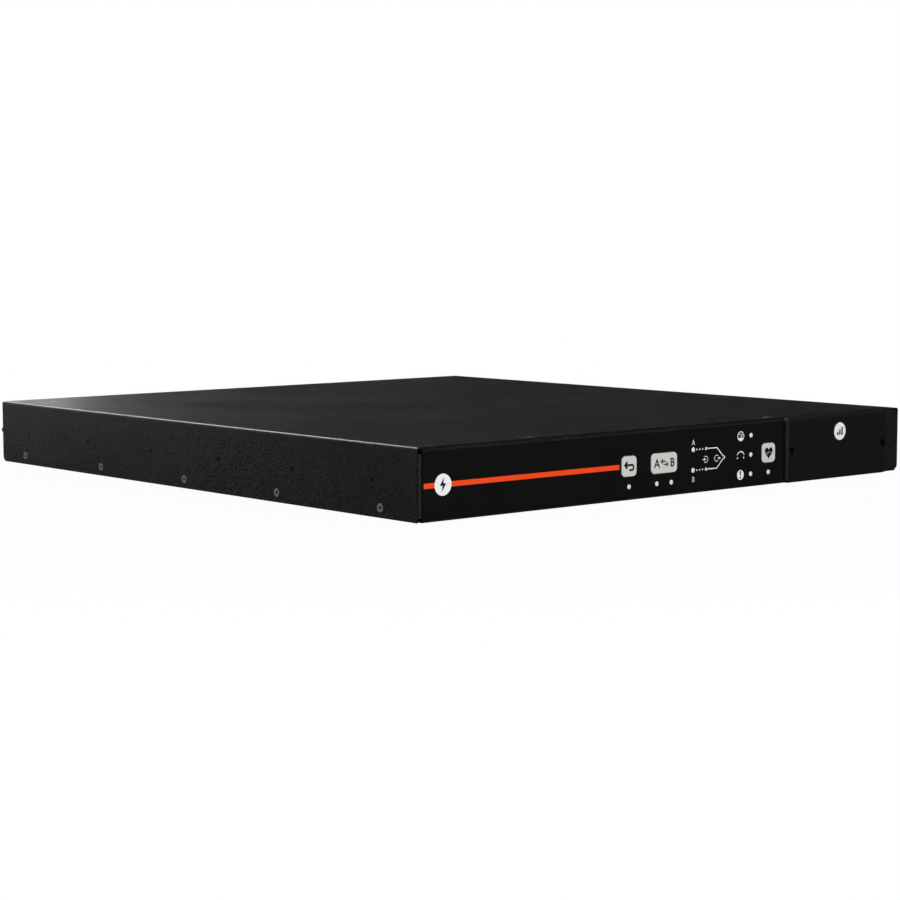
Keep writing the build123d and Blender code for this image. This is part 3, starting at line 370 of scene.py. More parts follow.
def make_metal_finishes():
    along_y = (1.0, 0.06, 1.0)
    along_x = (0.06, 1.0, 1.0)
    make_finish("plated_steel", screen_colour(196, 198, 202), 0.3, 0.3 * MM, 0.004 * MM,
                stretch=along_x, Metallic=1.0)
    make_finish("nickel", screen_colour(212, 209, 200), 0.26, 0.2 * MM, 0.003 * MM,
                stretch=along_y, Metallic=1.0)
    make_finish("brass", screen_colour(206, 193, 158), 0.28, 0.2 * MM, 0.003 * MM,
                stretch=along_y, Metallic=1.0)
    make_finish("copper", screen_colour(216, 144, 112), 0.3, 0.3 * MM, 0.004 * MM,
                stretch=along_x, Metallic=1.0)
    make_finish("aluminium", screen_colour(206, 207, 210), 0.32, 0.2 * MM, 0.003 * MM,
                stretch=(1.0, 1.0, 0.06), Metallic=1.0)


def dress_solids():
    """Gives each solid the finish of its slot."""
    for row in frame["record"]["subparts"]:
        mesh = frame["nodes"][row["node"]].data
        mesh.materials.clear()
        mesh.materials.append(bpy.data.materials[row["material_slot"]])


# Pieces: how a mesh becomes a finished object


def slot_of(node):
    return next(r["material_slot"] for r in frame["record"]["subparts"] if r["node"] == node)


def merged_solid(node):
    """A solid's triangles joined, with its flat faces whole, as a new working mesh."""
    work = bmesh.new()
    work.from_mesh(frame["nodes"][node].data)
    bmesh.ops.remove_doubles(work, verts=work.verts, dist=MERGE_DISTANCE)
    bmesh.ops.dissolve_limit(work, angle_limit=FLAT_ANGLE, verts=work.verts, edges=work.edges)
    return work


def plain_mesh(name, work):
    """A mesh with only the points and faces of a working mesh, which is freed."""
    work.verts.index_update()
    points = [vert.co.copy() for vert in work.verts]
    faces = [[vert.index for vert in face.verts] for face in work.faces]
    mesh = bpy.data.meshes.new(name)
    mesh.from_pydata(points, [], faces)
    work.free()
    return mesh


def new_object(name, data):
    """An object in the scene that holds a mesh, a lamp or a camera."""
    holder = bpy.data.objects.new(name, data)
    bpy.context.scene.collection.objects.link(holder)
    return holder


def evaluated_mesh(piece):
    """The mesh that a piece's modifiers make."""
    bpy.context.view_layer.update()
    evaluated = piece.evaluated_get(bpy.context.evaluated_depsgraph_get())
    return bpy.data.meshes.new_from_object(evaluated)


def applied(piece):
    """Applies a piece's modifiers by putting the evaluated mesh in its place."""
    finished = evaluated_mesh(piece)
    piece.modifiers.clear()
    piece.data = finished
    return piece


def new_piece(name, mesh, slot, body=CASING_BODY, stands_for=()):
    """A piece of the unit, with the finish of its slot, riding on a body."""
    piece = new_object(name, mesh)
    mesh.materials.clear()
    mesh.materials.append(bpy.data.materials[slot])
    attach(piece, body)
    if stands_for:
        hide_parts(*stands_for)
    return piece


def round_edges(piece, radius):
    """Rounds the hard edges, and keeps flat faces shaded flat."""
    for polygon in piece.data.polygons:
        polygon.use_smooth = True
    bevel = piece.modifiers.new("edges", "BEVEL")
    bevel.width = radius
    bevel.segments = EDGE_SEGMENTS
    bevel.limit_method = "ANGLE"
    bevel.angle_limit = SHARP_ANGLE
    bevel.use_clamp_overlap = True
    weighted = piece.modifiers.new("normals", "WEIGHTED_NORMAL")
    weighted.keep_sharp = True
    return applied(piece)


def rounded_solid(node, radius, inset=0.0):
    """A finished copy of a solid with rounded edges, inset on its left, right, top and bottom."""
    work = merged_solid(node)
    low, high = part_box(node)
    middle, size = (low + high) / 2, high - low
    for vert in work.verts:
        for axis in (0, 2):
            share = 1 - 2 * inset / size[axis]
            vert.co[axis] = middle[axis] + (vert.co[axis] - middle[axis]) * share
    mesh = plain_mesh(node, work)
    body = frame["nodes"][node]["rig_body"]
    return round_edges(new_piece(node + "_finished", mesh, slot_of(node), body, [node]), radius)


def islands(node):
    """The lowest and highest corner of each separate body of a solid, from left to right."""
    work = merged_solid(node)
    left = set(work.verts)
    boxes = []
    while left:
        group, queue = [], [left.pop()]
        while queue:
            vert = queue.pop()
            group.append(vert.co)
            for edge in vert.link_edges:
                other = edge.other_vert(vert)
                if other in left:
                    left.remove(other)
                    queue.append(other)
        low = Vector(min(p[i] for p in group) for i in range(3))
        high = Vector(max(p[i] for p in group) for i in range(3))
        boxes.append((low, high))
    work.free()
    return sorted(boxes, key=lambda box: (box[0].x, box[0].y, box[0].z))


def centre_of(node):
    low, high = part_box(node)
    return (low + high) / 2


# Prints: flat shapes as lists of outlines, each outline a list of (x, z) points


def disc(x, z, radius, steps=40):
    return [[(x + radius * cos(2 * pi * i / steps), z + radius * sin(2 * pi * i / steps))
             for i in range(steps)]]


def arc(x, z, radius, start, end, steps=24):
    """Points along an arc, with its angles in degrees."""
    angles = [radians(start + (end - start) * i / steps) for i in range(steps + 1)]
    return [(x + radius * cos(a), z + radius * sin(a)) for a in angles]


def stroke(points, width):
    """A line of even width along some points, as quads that share their corners."""
    points = [Vector(point) for point in points]
    ways = [(end - start).normalized() for start, end in zip(points, points[1:])]
    sides = []
    for i, here in enumerate(points):
        near = ways[max(i - 1, 0):i + 1]
        along = sum(near, Vector((0.0, 0.0))).normalized()
        across = Vector((-along.y, along.x))
        half = width / 2 / max(MITRE_LIMIT, along.dot(near[0]))
        sides.append((tuple(here + across * half), tuple(here - across * half)))
    return [[start[0], end[0], end[1], start[1]] for start, end in zip(sides, sides[1:])]


def letter_a(x, z, height, weight):
    """A capital A of straight strokes, centred on a point."""
    spread, bar_drop, bar_share, bar_weight = 0.4, 0.17, 0.62, 0.85
    foot, top, half = z - height / 2, z + height / 2 - weight / 2, height * spread
    shapes = stroke([(x - half, foot), (x, top), (x + half, foot)], weight)
    bar_z, bar_half = z - height * bar_drop, half * bar_share
    return shapes + stroke([(x - bar_half, bar_z), (x + bar_half, bar_z)], weight * bar_weight)


def letter_b(x, z, height, weight):
    """A capital B, a spine with two bowls, centred on a point."""
    spine, upper_belly, lower_belly = 0.32, 0.2, 0.27
    reach, left = (height - weight) / 4, x - height * spine + weight / 2
    shapes = stroke([(left, z - height / 2), (left, z + height / 2)], weight)
    for bowl_z, belly in ((z + reach, upper_belly), (z - reach, lower_belly)):
        bend = arc(left + height * belly, bowl_z, reach, 90, -90, 12)
        bowl = [(left, bowl_z + reach), *bend, (left, bowl_z - reach)]
        shapes += stroke(bowl, weight)
    return shapes


def flat_ink(name, shapes, surface_y, slot, body=CASING_BODY, lift=0.0):
    """Prints shapes on a surface that faces the front, as a thin layer of ink."""
    ink = settings("print")
    work = bmesh.new()
    for outline in shapes:
        corners = [work.verts.new((x, surface_y - lift, z)) for x, z in outline]
        face = work.faces.new(corners)
        face.normal_update()
        if face.normal.y > 0:
            face.normal_flip()
    bmesh.ops.remove_doubles(work, verts=work.verts, dist=MERGE_DISTANCE)
    piece = new_piece(name, plain_mesh(name, work), slot, body)
    solid = piece.modifiers.new("ink", "SOLIDIFY")
    solid.thickness = ink.thickness
    solid.offset = 1.0
    return applied(piece)


# Repeated pieces: node trees that put one shape on many points


def open_repeat_tree(name, sizes):
    """A geometry tree with a points input, named sizes with their defaults, and a material."""
    kinds = {int: "NodeSocketInt", float: "NodeSocketFloat"}
    return open_group(
        name,
        "GeometryNodeTree",
        [("Points", "NodeSocketGeometry", None),
         *((label, kinds[type(size)], size) for label, size in sizes.items()),
         ("Finish", "NodeSocketMaterial", None)],
        [("Pieces", "NodeSocketGeometry")],
    )


def close_repeat_tree(tree, given, result, shape):
    """Puts the shape on each point, turned outwards, and makes it real."""
    outward = add_node(
        tree, "GeometryNodeInputNamedAttribute", {"Name": "outward"}, data_type="FLOAT_VECTOR"
    )
    turned = add_node(
        tree, "FunctionNodeAlignRotationToVector", {"Vector": outward.outputs["Attribute"]}, axis="Z"
    )
    placed = add_node(
        tree, "GeometryNodeInstanceOnPoints",
        {"Points": given.outputs["Points"], "Instance": shape, "Rotation": turned.outputs["Rotation"]},
    )
    real = add_node(tree, "GeometryNodeRealizeInstances", {"Geometry": placed.outputs["Instances"]})
    coloured = add_node(
        tree, "GeometryNodeSetMaterial",
        {"Geometry": real.outputs["Geometry"], "Material": given.outputs["Finish"]},
    )
    tree.links.new(coloured.outputs["Geometry"], result.inputs["Pieces"])
    return tree


def shifted(tree, mesh, z):
    """A mesh moved along its own upright axis."""
    offset = add_node(tree, "ShaderNodeCombineXYZ", {"Z": z})
    moved = add_node(
        tree, "GeometryNodeTransform", {"Geometry": mesh, "Translation": offset.outputs["Vector"]}
    )
    return moved.outputs["Geometry"]


def lowered(tree, mesh, depth):
    return shifted(tree, mesh, math(tree, "MULTIPLY", depth, -1.0))


def halved(tree, value):
    return math(tree, "MULTIPLY", value, 0.5)


def cylinder(tree, sides, radius, depth):
    node = add_node(
        tree, "GeometryNodeMeshCylinder", {"Vertices": sides, "Radius": radius, "Depth": depth}
    )
    return node.outputs["Mesh"]


def joined(tree, *parts):
    node = add_node(tree, "GeometryNodeJoinGeometry")
    for part in parts:
        tree.links.new(part, node.inputs["Geometry"])
    return node.outputs["Geometry"]


def build_screw_tree():
    """A flat screw head with a hexagon in it, on a short shank, its face at the point."""
    tree, given, result = open_repeat_tree("flat_screws", {
        "Head Radius": 2.65 * MM, "Shank Radius": 1.5 * MM, "Length": 6.0 * MM,
        "Hexagon": 1.25 * MM, "Hexagon Depth": 1.0 * MM,
    })
    sizes, sides = given.outputs, 48
    head_r, shank_r = sizes["Head Radius"], sizes["Shank Radius"]
    head_height = math(tree, "SUBTRACT", head_r, shank_r)
    cone = add_node(
        tree, "GeometryNodeMeshCone",
        {"Vertices": sides, "Radius Top": head_r, "Radius Bottom": shank_r, "Depth": head_height},
    )
    head = lowered(tree, cone.outputs["Mesh"], head_height)
    cutter_depth = math(tree, "MULTIPLY", sizes["Hexagon Depth"], 2.0)
    recessed = add_node(tree, "GeometryNodeMeshBoolean", operation="DIFFERENCE", solver="EXACT")
    tree.links.new(head, recessed.inputs["Mesh 1"])
    tree.links.new(cylinder(tree, 6, sizes["Hexagon"], cutter_depth), recessed.inputs["Mesh 2"])
    shank_length = math(tree, "SUBTRACT", sizes["Length"], head_height)
    middle = math(tree, "ADD", head_height, halved(tree, shank_length))
    shank = lowered(tree, cylinder(tree, sides, shank_r, shank_length), middle)
    return close_repeat_tree(tree, given, result, joined(tree, recessed.outputs["Mesh"], shank))


def build_hexagon_shade_tree():
    """Painted shade: a dark block sunk a little under the point in a screw head's hexagon, standing for
    the shade in its recess.
    """
    tree, given, result = open_repeat_tree("hexagon_cores", {
        "Radius": 1.25 * MM, "Depth": 1.0 * MM, "Sunk": 0.2 * MM,
    })
    sizes = given.outputs
    height = math(tree, "SUBTRACT", sizes["Depth"], sizes["Sunk"])
    middle = math(tree, "ADD", sizes["Sunk"], halved(tree, height))
    shade_block = lowered(tree, cylinder(tree, 6, sizes["Radius"], height), middle)
    return close_repeat_tree(tree, given, result, shade_block)


def build_lens_tree():
    """A light pipe with a low dome at its end, whose rim is at the point."""
    tree, given, result = open_repeat_tree("lens_domes", {
        "Radius": 1.4 * MM, "Height": 0.35 * MM, "Length": 4.0 * MM,
    })
    sizes, sides = given.outputs, 32
    ball = add_node(
        tree, "GeometryNodeMeshUVSphere",
        {"Segments": sides, "Rings": sides // 2, "Radius": sizes["Radius"]},
    )
    flatness = math(tree, "DIVIDE", sizes["Height"], sizes["Radius"])
    scale = add_node(tree, "ShaderNodeCombineXYZ", {"X": 1.0, "Y": 1.0, "Z": flatness})
    dome = add_node(
        tree, "GeometryNodeTransform", {"Geometry": ball.outputs["Mesh"], "Scale": scale.outputs["Vector"]}
    )
    rod = cylinder(tree, sides, sizes["Radius"], sizes["Length"])
    pipe = joined(tree, dome.outputs["Geometry"], lowered(tree, rod, halved(tree, sizes["Length"])))
    return close_repeat_tree(tree, given, result, pipe)


def build_thread_tree():
    """A thread's ridge as a wire wound from the point inwards."""
    tree, given, result = open_repeat_tree("thread_ridges", {
        "Radius": 1.6 * MM, "Pitch": 0.7 * MM, "Length": 3.0 * MM, "Ridge": 0.2 * MM,
    })
    sizes = given.outputs
    turns = math(tree, "DIVIDE", sizes["Length"], sizes["Pitch"])
    spiral = add_node(
        tree, "GeometryNodeCurveSpiral",
        {"Resolution": 24, "Rotations": turns, "Start Radius": sizes["Radius"],
         "End Radius": sizes["Radius"], "Height": sizes["Length"]},
    )
    profile = add_node(
        tree, "GeometryNodeCurvePrimitiveCircle", {"Resolution": 3, "Radius": sizes["Ridge"]}
    )
    ridge = add_node(
        tree, "GeometryNodeCurveToMesh",
        {"Curve": spiral.outputs["Curve"], "Profile Curve": profile.outputs["Curve"], "Fill Caps": True},
    )
    reach = math(tree, "ADD", sizes["Length"], sizes["Ridge"])
    return close_repeat_tree(tree, given, result, lowered(tree, ridge.outputs["Mesh"], reach))


def build_dot_tree():
    """A row of flat printed dots that starts at each point."""
    tree, given, result = open_repeat_tree("dot_rows", {
        "Count": 3, "Pitch": 2.65 * MM, "Radius": 0.6 * MM, "Thickness": 0.03 * MM,
    })
    sizes = given.outputs
    step = add_node(tree, "ShaderNodeCombineXYZ", {"X": sizes["Pitch"]})
    row = add_node(
        tree, "GeometryNodeMeshLine", {"Count": sizes["Count"], "Offset": step.outputs["Vector"]}
    )
    dot = cylinder(tree, 24, sizes["Radius"], sizes["Thickness"])
    raised = shifted(tree, dot, halved(tree, sizes["Thickness"]))
    dots = add_node(
        tree, "GeometryNodeInstanceOnPoints", {"Points": row.outputs["Mesh"], "Instance": raised}
    )
    return close_repeat_tree(tree, given, result, dots.outputs["Instances"])


def repeated_piece(name, build_tree, points, sizes, slot, stands_for=(), smooth=True):
    """Runs a repeat tree on (point, outward) pairs and keeps the result as a plain mesh."""
    base = bpy.data.meshes.new(name)
    base.from_pydata([point for point, _ in points], [], [])
    outward = base.attributes.new("outward", "FLOAT_VECTOR", "POINT")
    for entry, (_, direction) in zip(outward.data, points):
        entry.vector = direction
    holder = new_object(name + "_points", base)
    tree = build_tree()
    modifier = holder.modifiers.new(name, "NODES")
    modifier.node_group = tree
    values = {**sizes, "Finish": bpy.data.materials[slot]}
    for socket in tree.interface.items_tree:
        if socket.item_type == "SOCKET" and socket.in_out == "INPUT" and socket.name in values:
            modifier[socket.identifier] = values[socket.name]
    mesh = evaluated_mesh(holder)
    bpy.data.objects.remove(holder)
    if smooth:
        for polygon in mesh.polygons:
            polygon.use_smooth = True
        mesh.set_sharp_from_angle(angle=SHARP_ANGLE)
    left_over = mesh.attributes.get("outward")
    if left_over:
        mesh.attributes.remove(left_over)
    return new_piece(name, mesh, slot, stands_for=stands_for)


def front_point(x, y, z):
    """A point on a surface that faces the front, and the way it faces."""
    return Vector((x, y, z)), Vector((0.0, -1.0, 0.0))


class POWERUNIT_OT_finishes(bpy.types.Operator):
    """Makes every finish and gives each solid its own"""

    bl_idname = "power_unit.finishes"
    bl_label = "Finishes"

    def execute(self, context):
        build_grain_group()
        build_smudge_group()
        build_drawn_group()
        make_coated_finishes()
        make_moulded_finishes()
        make_lens_finish()
        make_metal_finishes()
        dress_solids()
        return {"FINISHED"}


class POWERUNIT_OT_casing(bpy.types.Operator):
    """Rounds the edges of the folded sheets and threads the ear holes"""

    bl_idname = "power_unit.casing"
    bl_label = "Casing"

    def execute(self, context):
        edge = settings("edge").sheet_edge
        rounded_solid("top_cover", edge)
        rounded_solid("base_pan", edge)
        threads = settings("screws")
        holes = []
        for mount in frame["record"]["mounts"]:
            if mount["name"].endswith("ear_holes"):
                bore = mount["dims"]["hole_r_mm"] * MM
                half = mount["dims"]["spacing_x_mm"] * MM / 2
                for shift in (-half, half):
                    place = Vector(mount["pos_m"]) + Vector((0.0, shift, 0.0))
                    holes.append((place, Vector(mount["axis"])))
        thread_depth, ridge = 3.2 * MM, bore / 8
        repeated_piece("ear_hole_threads", build_thread_tree, holes, {
            "Radius": bore, "Pitch": threads.thread_pitch, "Length": thread_depth, "Ridge": ridge,
        }, "powder_coat", smooth=False)
        return {"FINISHED"}


class POWERUNIT_OT_screws(bpy.types.Operator):
    """Puts a flat screw with a hexagon in its head on each screw's place, with a dark block in the hexagon
    as painted shade
    """

    bl_idname = "power_unit.screws"
    bl_label = "Cover Screws"

    def execute(self, context):
        screws = settings("screws")
        places = []
        for low, high in islands("side_screws"):
            side = 1.0 if low.x > 0 else -1.0
            middle = (low + high) / 2
            places.append((Vector((side * max(abs(low.x), abs(high.x)), middle.y, middle.z)),
                           Vector((side, 0.0, 0.0))))
        for low, high in islands("top_screws"):
            middle = (low + high) / 2
            places.append((Vector((middle.x, middle.y, high.z)), Vector((0.0, 0.0, 1.0))))
        low, high = islands("top_screws")[0]
        head_r, cone_height, shade_sunk = (high.x - low.x) / 2, 1.15 * MM, 0.2 * MM
        repeated_piece("cover_screws", build_screw_tree, places, {
            "Head Radius": head_r, "Shank Radius": head_r - cone_height, "Length": high.z - low.z,
            "Hexagon": screws.hexagon, "Hexagon Depth": screws.hexagon_depth,
        }, "black_steel", stands_for=["side_screws", "top_screws"])
        # The dark block in each hexagon is painted shade for the recess, in the black of the fascia.
        repeated_piece("screw_hexagons", build_hexagon_shade_tree, places, {
            "Radius": screws.hexagon, "Depth": screws.hexagon_depth, "Sunk": shade_sunk,
        }, "fascia_black", smooth=False)
        return {"FINISHED"}


class POWERUNIT_OT_front_panel(bpy.types.Operator):
    """Rounds the fascia, its stripe and its badge, and marks the badge with a bolt of lightning"""

    bl_idname = "power_unit.front_panel"
    bl_label = "Front Panel"

    def execute(self, context):
        edges = settings("edge")
        rounded_solid("front_fascia", edges.moulded_edge)
        rounded_solid("accent_stripe", edges.fine_edge)
        rounded_solid("round_badge", edges.fine_edge)
        centre = centre_of("round_badge")
        face_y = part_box("round_badge")[0].y
        bolt = [(0.9, 4.4), (-2.5, -0.6), (-0.3, -0.6), (-1.1, -4.4), (2.5, 0.8), (0.2, 0.8)]
        outline = [(centre.x + x * MM, centre.z + z * MM) for x, z in bolt]
        flat_ink("badge_mark", [outline], face_y, "fascia_black")
        return {"FINISHED"}


class POWERUNIT_OT_keys(bpy.types.Operator):
    """Rounds the three keys and prints their symbols"""

    bl_idname = "power_unit.keys"
    bl_label = "Keys"

    def print_on(self, key, name, shapes, slot="fascia_black", lift=0.0):
        """Prints shapes, drawn about the key's centre in millimetres, so that they move with it."""
        centre = centre_of(key)
        placed = [[(centre.x + x * MM, centre.z + z * MM) for x, z in shape] for shape in shapes]
        flat_ink(name, placed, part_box(key)[0].y, slot, frame["nodes"][key]["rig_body"], lift)

    def execute(self, context):
        for key in ("return_key", "transfer_key", "health_key"):
            rounded_solid(key, settings("edge").fine_edge, inset=settings("screws").key_gap)
        self.print_return()
        self.print_transfer()
        self.print_health()
        return {"FINISHED"}

    def print_return(self):
        """An arrow that turns back on itself."""
        turn_r, width, upper = 1.6, 1.3, 0.8
        head_x, turn_x, tail_x = -2.6, 2.1, -0.1
        path = [(head_x, upper), (turn_x, upper)]
        path += arc(turn_x, upper - turn_r, turn_r, 90, -90)[1:]
        path.append((tail_x, upper - 2 * turn_r))
        tip_x, barb_x, barb = head_x - 1.1, head_x + 0.7, 2.1
        barbs = stroke([(barb_x, upper - barb), (tip_x, upper), (barb_x, upper + barb)], width * 1.15)
        self.print_on("return_key", "return_symbol", stroke(path, width) + barbs)

    def print_transfer(self):
        """The two inputs' letters, with an arrow each way between them."""
        size, weight, z = settings("print").key_letter_height / MM, 1.0, 0.1
        shapes = letter_a(-6.7, z, size, weight) + letter_b(7.3, z, size, weight)
        width, barb, length = 0.8, 1.4, 4.0
        for way, tip, z in ((-1, -2.9, 1.1), (1, 3.1, -0.9)):
            back = tip - way * barb
            shapes += stroke([(tip - way * length, z), (tip - way * width, z)], width)
            shapes += stroke([(back, z + barb), (tip, z), (back, z - barb)], width)
        self.print_on("transfer_key", "transfer_symbols", shapes)

    def print_health(self):
        """A heart, with a thin pulse across it."""
        steps, wide, tall, rise = 48, 0.24, 0.268, 0.25
        heart = []
        for i in range(steps):
            t = 2 * pi * i / steps
            x = 16 * sin(t) ** 3
            z = 13 * cos(t) - 5 * cos(2 * t) - 2 * cos(3 * t) - cos(4 * t)
            heart.append((x * wide, z * tall + rise))
        self.print_on("health_key", "health_symbol", [heart])
        pulse = [(-2.7, 0.1), (-1.6, 0.1), (-1.0, -1.0), (-0.1, 0.8), (0.5, 0.1), (2.7, 0.1)]
        pulse_line = 0.22
        self.print_on("health_key", "health_pulse", stroke(pulse, pulse_line), "key_grey",
                      settings("print").thickness)


class POWERUNIT_OT_lights(bpy.types.Operator):
    """Domes the lens of each indicator light"""

    bl_idname = "power_unit.lights"
    bl_label = "Indicator Lights"

    def execute(self, context):
        pipes = islands("light_pipes")
        low, high = pipes[0]
        places = [front_point((low.x + high.x) / 2, low.y, (low.z + high.z) / 2) for low, high in pipes]
        repeated_piece("light_lenses", build_lens_tree, places, {
            "Radius": (high.x - low.x) / 2 - settings("screws").lens_gap,
            "Height": settings("screws").lens_height, "Length": high.y - low.y,
        }, "light_clear", stands_for=["light_pipes"])
        return {"FINISHED"}


class POWERUNIT_OT_prints(bpy.types.Operator):
    """Prints the feed diagram and the status icons on the fascia"""

    bl_idname = "power_unit.prints"
    bl_label = "Printed Marks"

    def execute(self, context):
        ink = settings("print")
        self.face_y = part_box("front_fascia")[0].y
        lights = [((low.x + high.x) / 2, (low.z + high.z) / 2) for low, high in islands("light_pipes")]
        columns = {}
        for x, z in lights:
            columns.setdefault(round(x / MM), []).append((x, z))
        feed = sorted(next(c for c in columns.values() if len(c) == 2), key=lambda p: p[1])
        status = sorted(next(c for c in columns.values() if len(c) == 3), key=lambda p: p[1])
        self.print_diagram(feed, ink)
        self.print_status(status, ink)
        return {"FINISHED"}

    def print_diagram(self, feed, ink):
        """Two feeds, each from its light through dots and a node, that meet in one point."""
        (x, low_z), (_, high_z) = feed
        middle = (low_z + high_z) / 2
        node_x, bend_x, tip_x = x + 12.0 * MM, x + 22.1 * MM, x + 28.9 * MM
        node_r, tip_r = 1.0 * MM, 0.95 * MM
        path = [(node_x, high_z), (bend_x, high_z), (tip_x, middle), (bend_x, low_z), (node_x, low_z)]
        shapes = disc(node_x, low_z, node_r) + disc(node_x, high_z, node_r)
        shapes += stroke(path, ink.line) + disc(tip_x, middle, tip_r)
        flat_ink("feed_lines", shapes, self.face_y, "badge_white")
        first_dot, dot_pitch, dot_r = x + 3.35 * MM, 2.65 * MM, 0.52 * MM
        dots = [front_point(first_dot, self.face_y, z) for _, z in feed]
        repeated_piece("feed_dots", build_dot_tree, dots, {
            "Count": ink.feed_dots, "Pitch": dot_pitch, "Radius": dot_r, "Thickness": ink.thickness,
        }, "badge_white", smooth=False)
        above, below, aside = 4.6 * MM, 5.7 * MM, 0.3 * MM
        names = letter_a(x, high_z + above, ink.letter_height, ink.letter_line)
        names += letter_b(x + aside, low_z - below, ink.letter_height, ink.letter_line)
        flat_ink("feed_letters", names, self.face_y, "badge_white")
        in_x, out_x, icon_z = x + 11.6 * MM, x + 21.9 * MM, middle - 0.3 * MM
        icons = self.flow_icon(in_x, icon_z, True) + self.flow_icon(out_x, icon_z, False)
        flat_ink("flow_icons", icons, self.face_y, "badge_white")

    def flow_icon(self, x, z, inward):
        """An open ring with an arrow into it, or out of it on the other side."""
        ring_r, width, gap = 2.0 * MM, 0.36 * MM, 40
        opening = 180 if inward else 0
        shapes = stroke(arc(x, z, ring_r, opening + gap, opening + 360 - gap), width)
        tail = x - 3.2 * MM if inward else x + 0.4 * MM
        head, head_length, head_half = tail + 1.9 * MM, 1.5 * MM, 0.85 * MM
        shapes += stroke([(tail, z), (head, z)], width)
        shapes.append([(head, z + head_half), (head + head_length, z), (head, z - head_half)])
        return shapes

    def print_status(self, status, ink):
        """A meter, a hood over two lamps, and an alert, one beside each status light."""
        icons_left = 10.0 * MM
        x = status[0][0] - icons_left
        alert_z, hood_z, meter_z = (z for _, z in status)
        white = disc(x, meter_z, ink.icon_radius) + disc(x, alert_z, ink.icon_radius)
        hood_r, lamp_x, lamp_r = 3.7 * MM, 2.95 * MM, 0.55 * MM
        white += stroke(arc(x, hood_z - 1.2 * MM, hood_r, 26, 154), ink.line)
        for side in (-1, 1):
            white += disc(x + side * lamp_x, hood_z - 1.5 * MM, lamp_r)
        flat_ink("status_icons", white, self.face_y, "badge_white")
        rim, head_half, foot_half = 0.6 * MM, 0.7 * MM, 0.45 * MM
        head, foot = alert_z + 2.4 * MM, alert_z - 0.4 * MM
        black = [arc(x, meter_z, ink.icon_radius - rim, -24, 204)]
        black.append([(x - head_half, head), (x - foot_half, foot),
                      (x + foot_half, foot), (x + head_half, head)])
        black += disc(x, alert_z - 1.7 * MM, head_half)
        flat_ink("status_marks", black, self.face_y, "fascia_black", lift=ink.thickness)
        needle_line, dial_line, dial_r = 0.6 * MM, 0.35 * MM, 2.3 * MM
        needle = stroke([(x, meter_z - 1.4 * MM), (x + 1.1 * MM, meter_z + 0.8 * MM)], needle_line)
        needle += stroke(arc(x, meter_z - 0.9 * MM, dial_r, 40, 140), dial_line)
        flat_ink("meter_needle", needle, self.face_y, "badge_white", lift=2 * ink.thickness)


class POWERUNIT_OT_module(bpy.types.Operator):
    """Rounds the module's face and sets a disc with three rising bars in it"""

    bl_idname = "power_unit.module"
    bl_label = "Monitoring Module"

    def execute(self, context):
        radius, depth, rim_gap = 6.0 * MM, 0.12 * MM, 0.05 * MM
        right, up = 1.3 * MM, 10.0 * MM
        centre = centre_of("module_face")
        face_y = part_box("module_face")[0].y
        x, z = centre.x + right, centre.z + up
        mesh = plain_mesh("module_face", merged_solid("module_face"))
        face = new_piece("module_face_finished", mesh, "module_plastic", stands_for=["module_face"])
        cutter = self.seat_cutter(x, face_y, z, radius, depth)
        cut = face.modifiers.new("seat", "BOOLEAN")
        cut.object = cutter
        cut.operation = "DIFFERENCE"
        cut.solver = "EXACT"
        applied(face)
        bpy.data.objects.remove(cutter)
        round_edges(face, settings("edge").fine_edge)
        self.print_disc(x, face_y, z, radius - rim_gap, depth)
        return {"FINISHED"}

    def seat_cutter(self, x, face_y, z, radius, depth):
        """A disc that cuts the seat into the face."""
        work = bmesh.new()
        place = Matrix.Translation((x, face_y, z)) @ Matrix.Rotation(pi / 2, 4, "X")
        bmesh.ops.create_cone(work, cap_ends=True, segments=64, radius1=radius, radius2=radius,
                              depth=2 * depth, matrix=place)
        return new_object("seat_cutter", plain_mesh("seat_cutter", work))

    def print_disc(self, x, face_y, z, radius, depth):
        """The white disc, and the bars on it, both under the level of the face."""
        layer = settings("print").thickness
        flat_ink("module_disc", disc(x, z, radius, 64), face_y + depth - layer, "badge_white")
        first, pitch, width = x - 3.0 * MM, 2.25 * MM, 1.5 * MM
        foot, shortest, rise = z - 2.6 * MM, 2.2 * MM, 1.6 * MM
        bars = []
        for i in range(3):
            left, top = first + pitch * i, foot + shortest + rise * i
            bars.append([(left, foot), (left, top), (left + width, top), (left + width, foot)])
        flat_ink("module_bars", bars, face_y + depth - 2 * layer, "fascia_black")


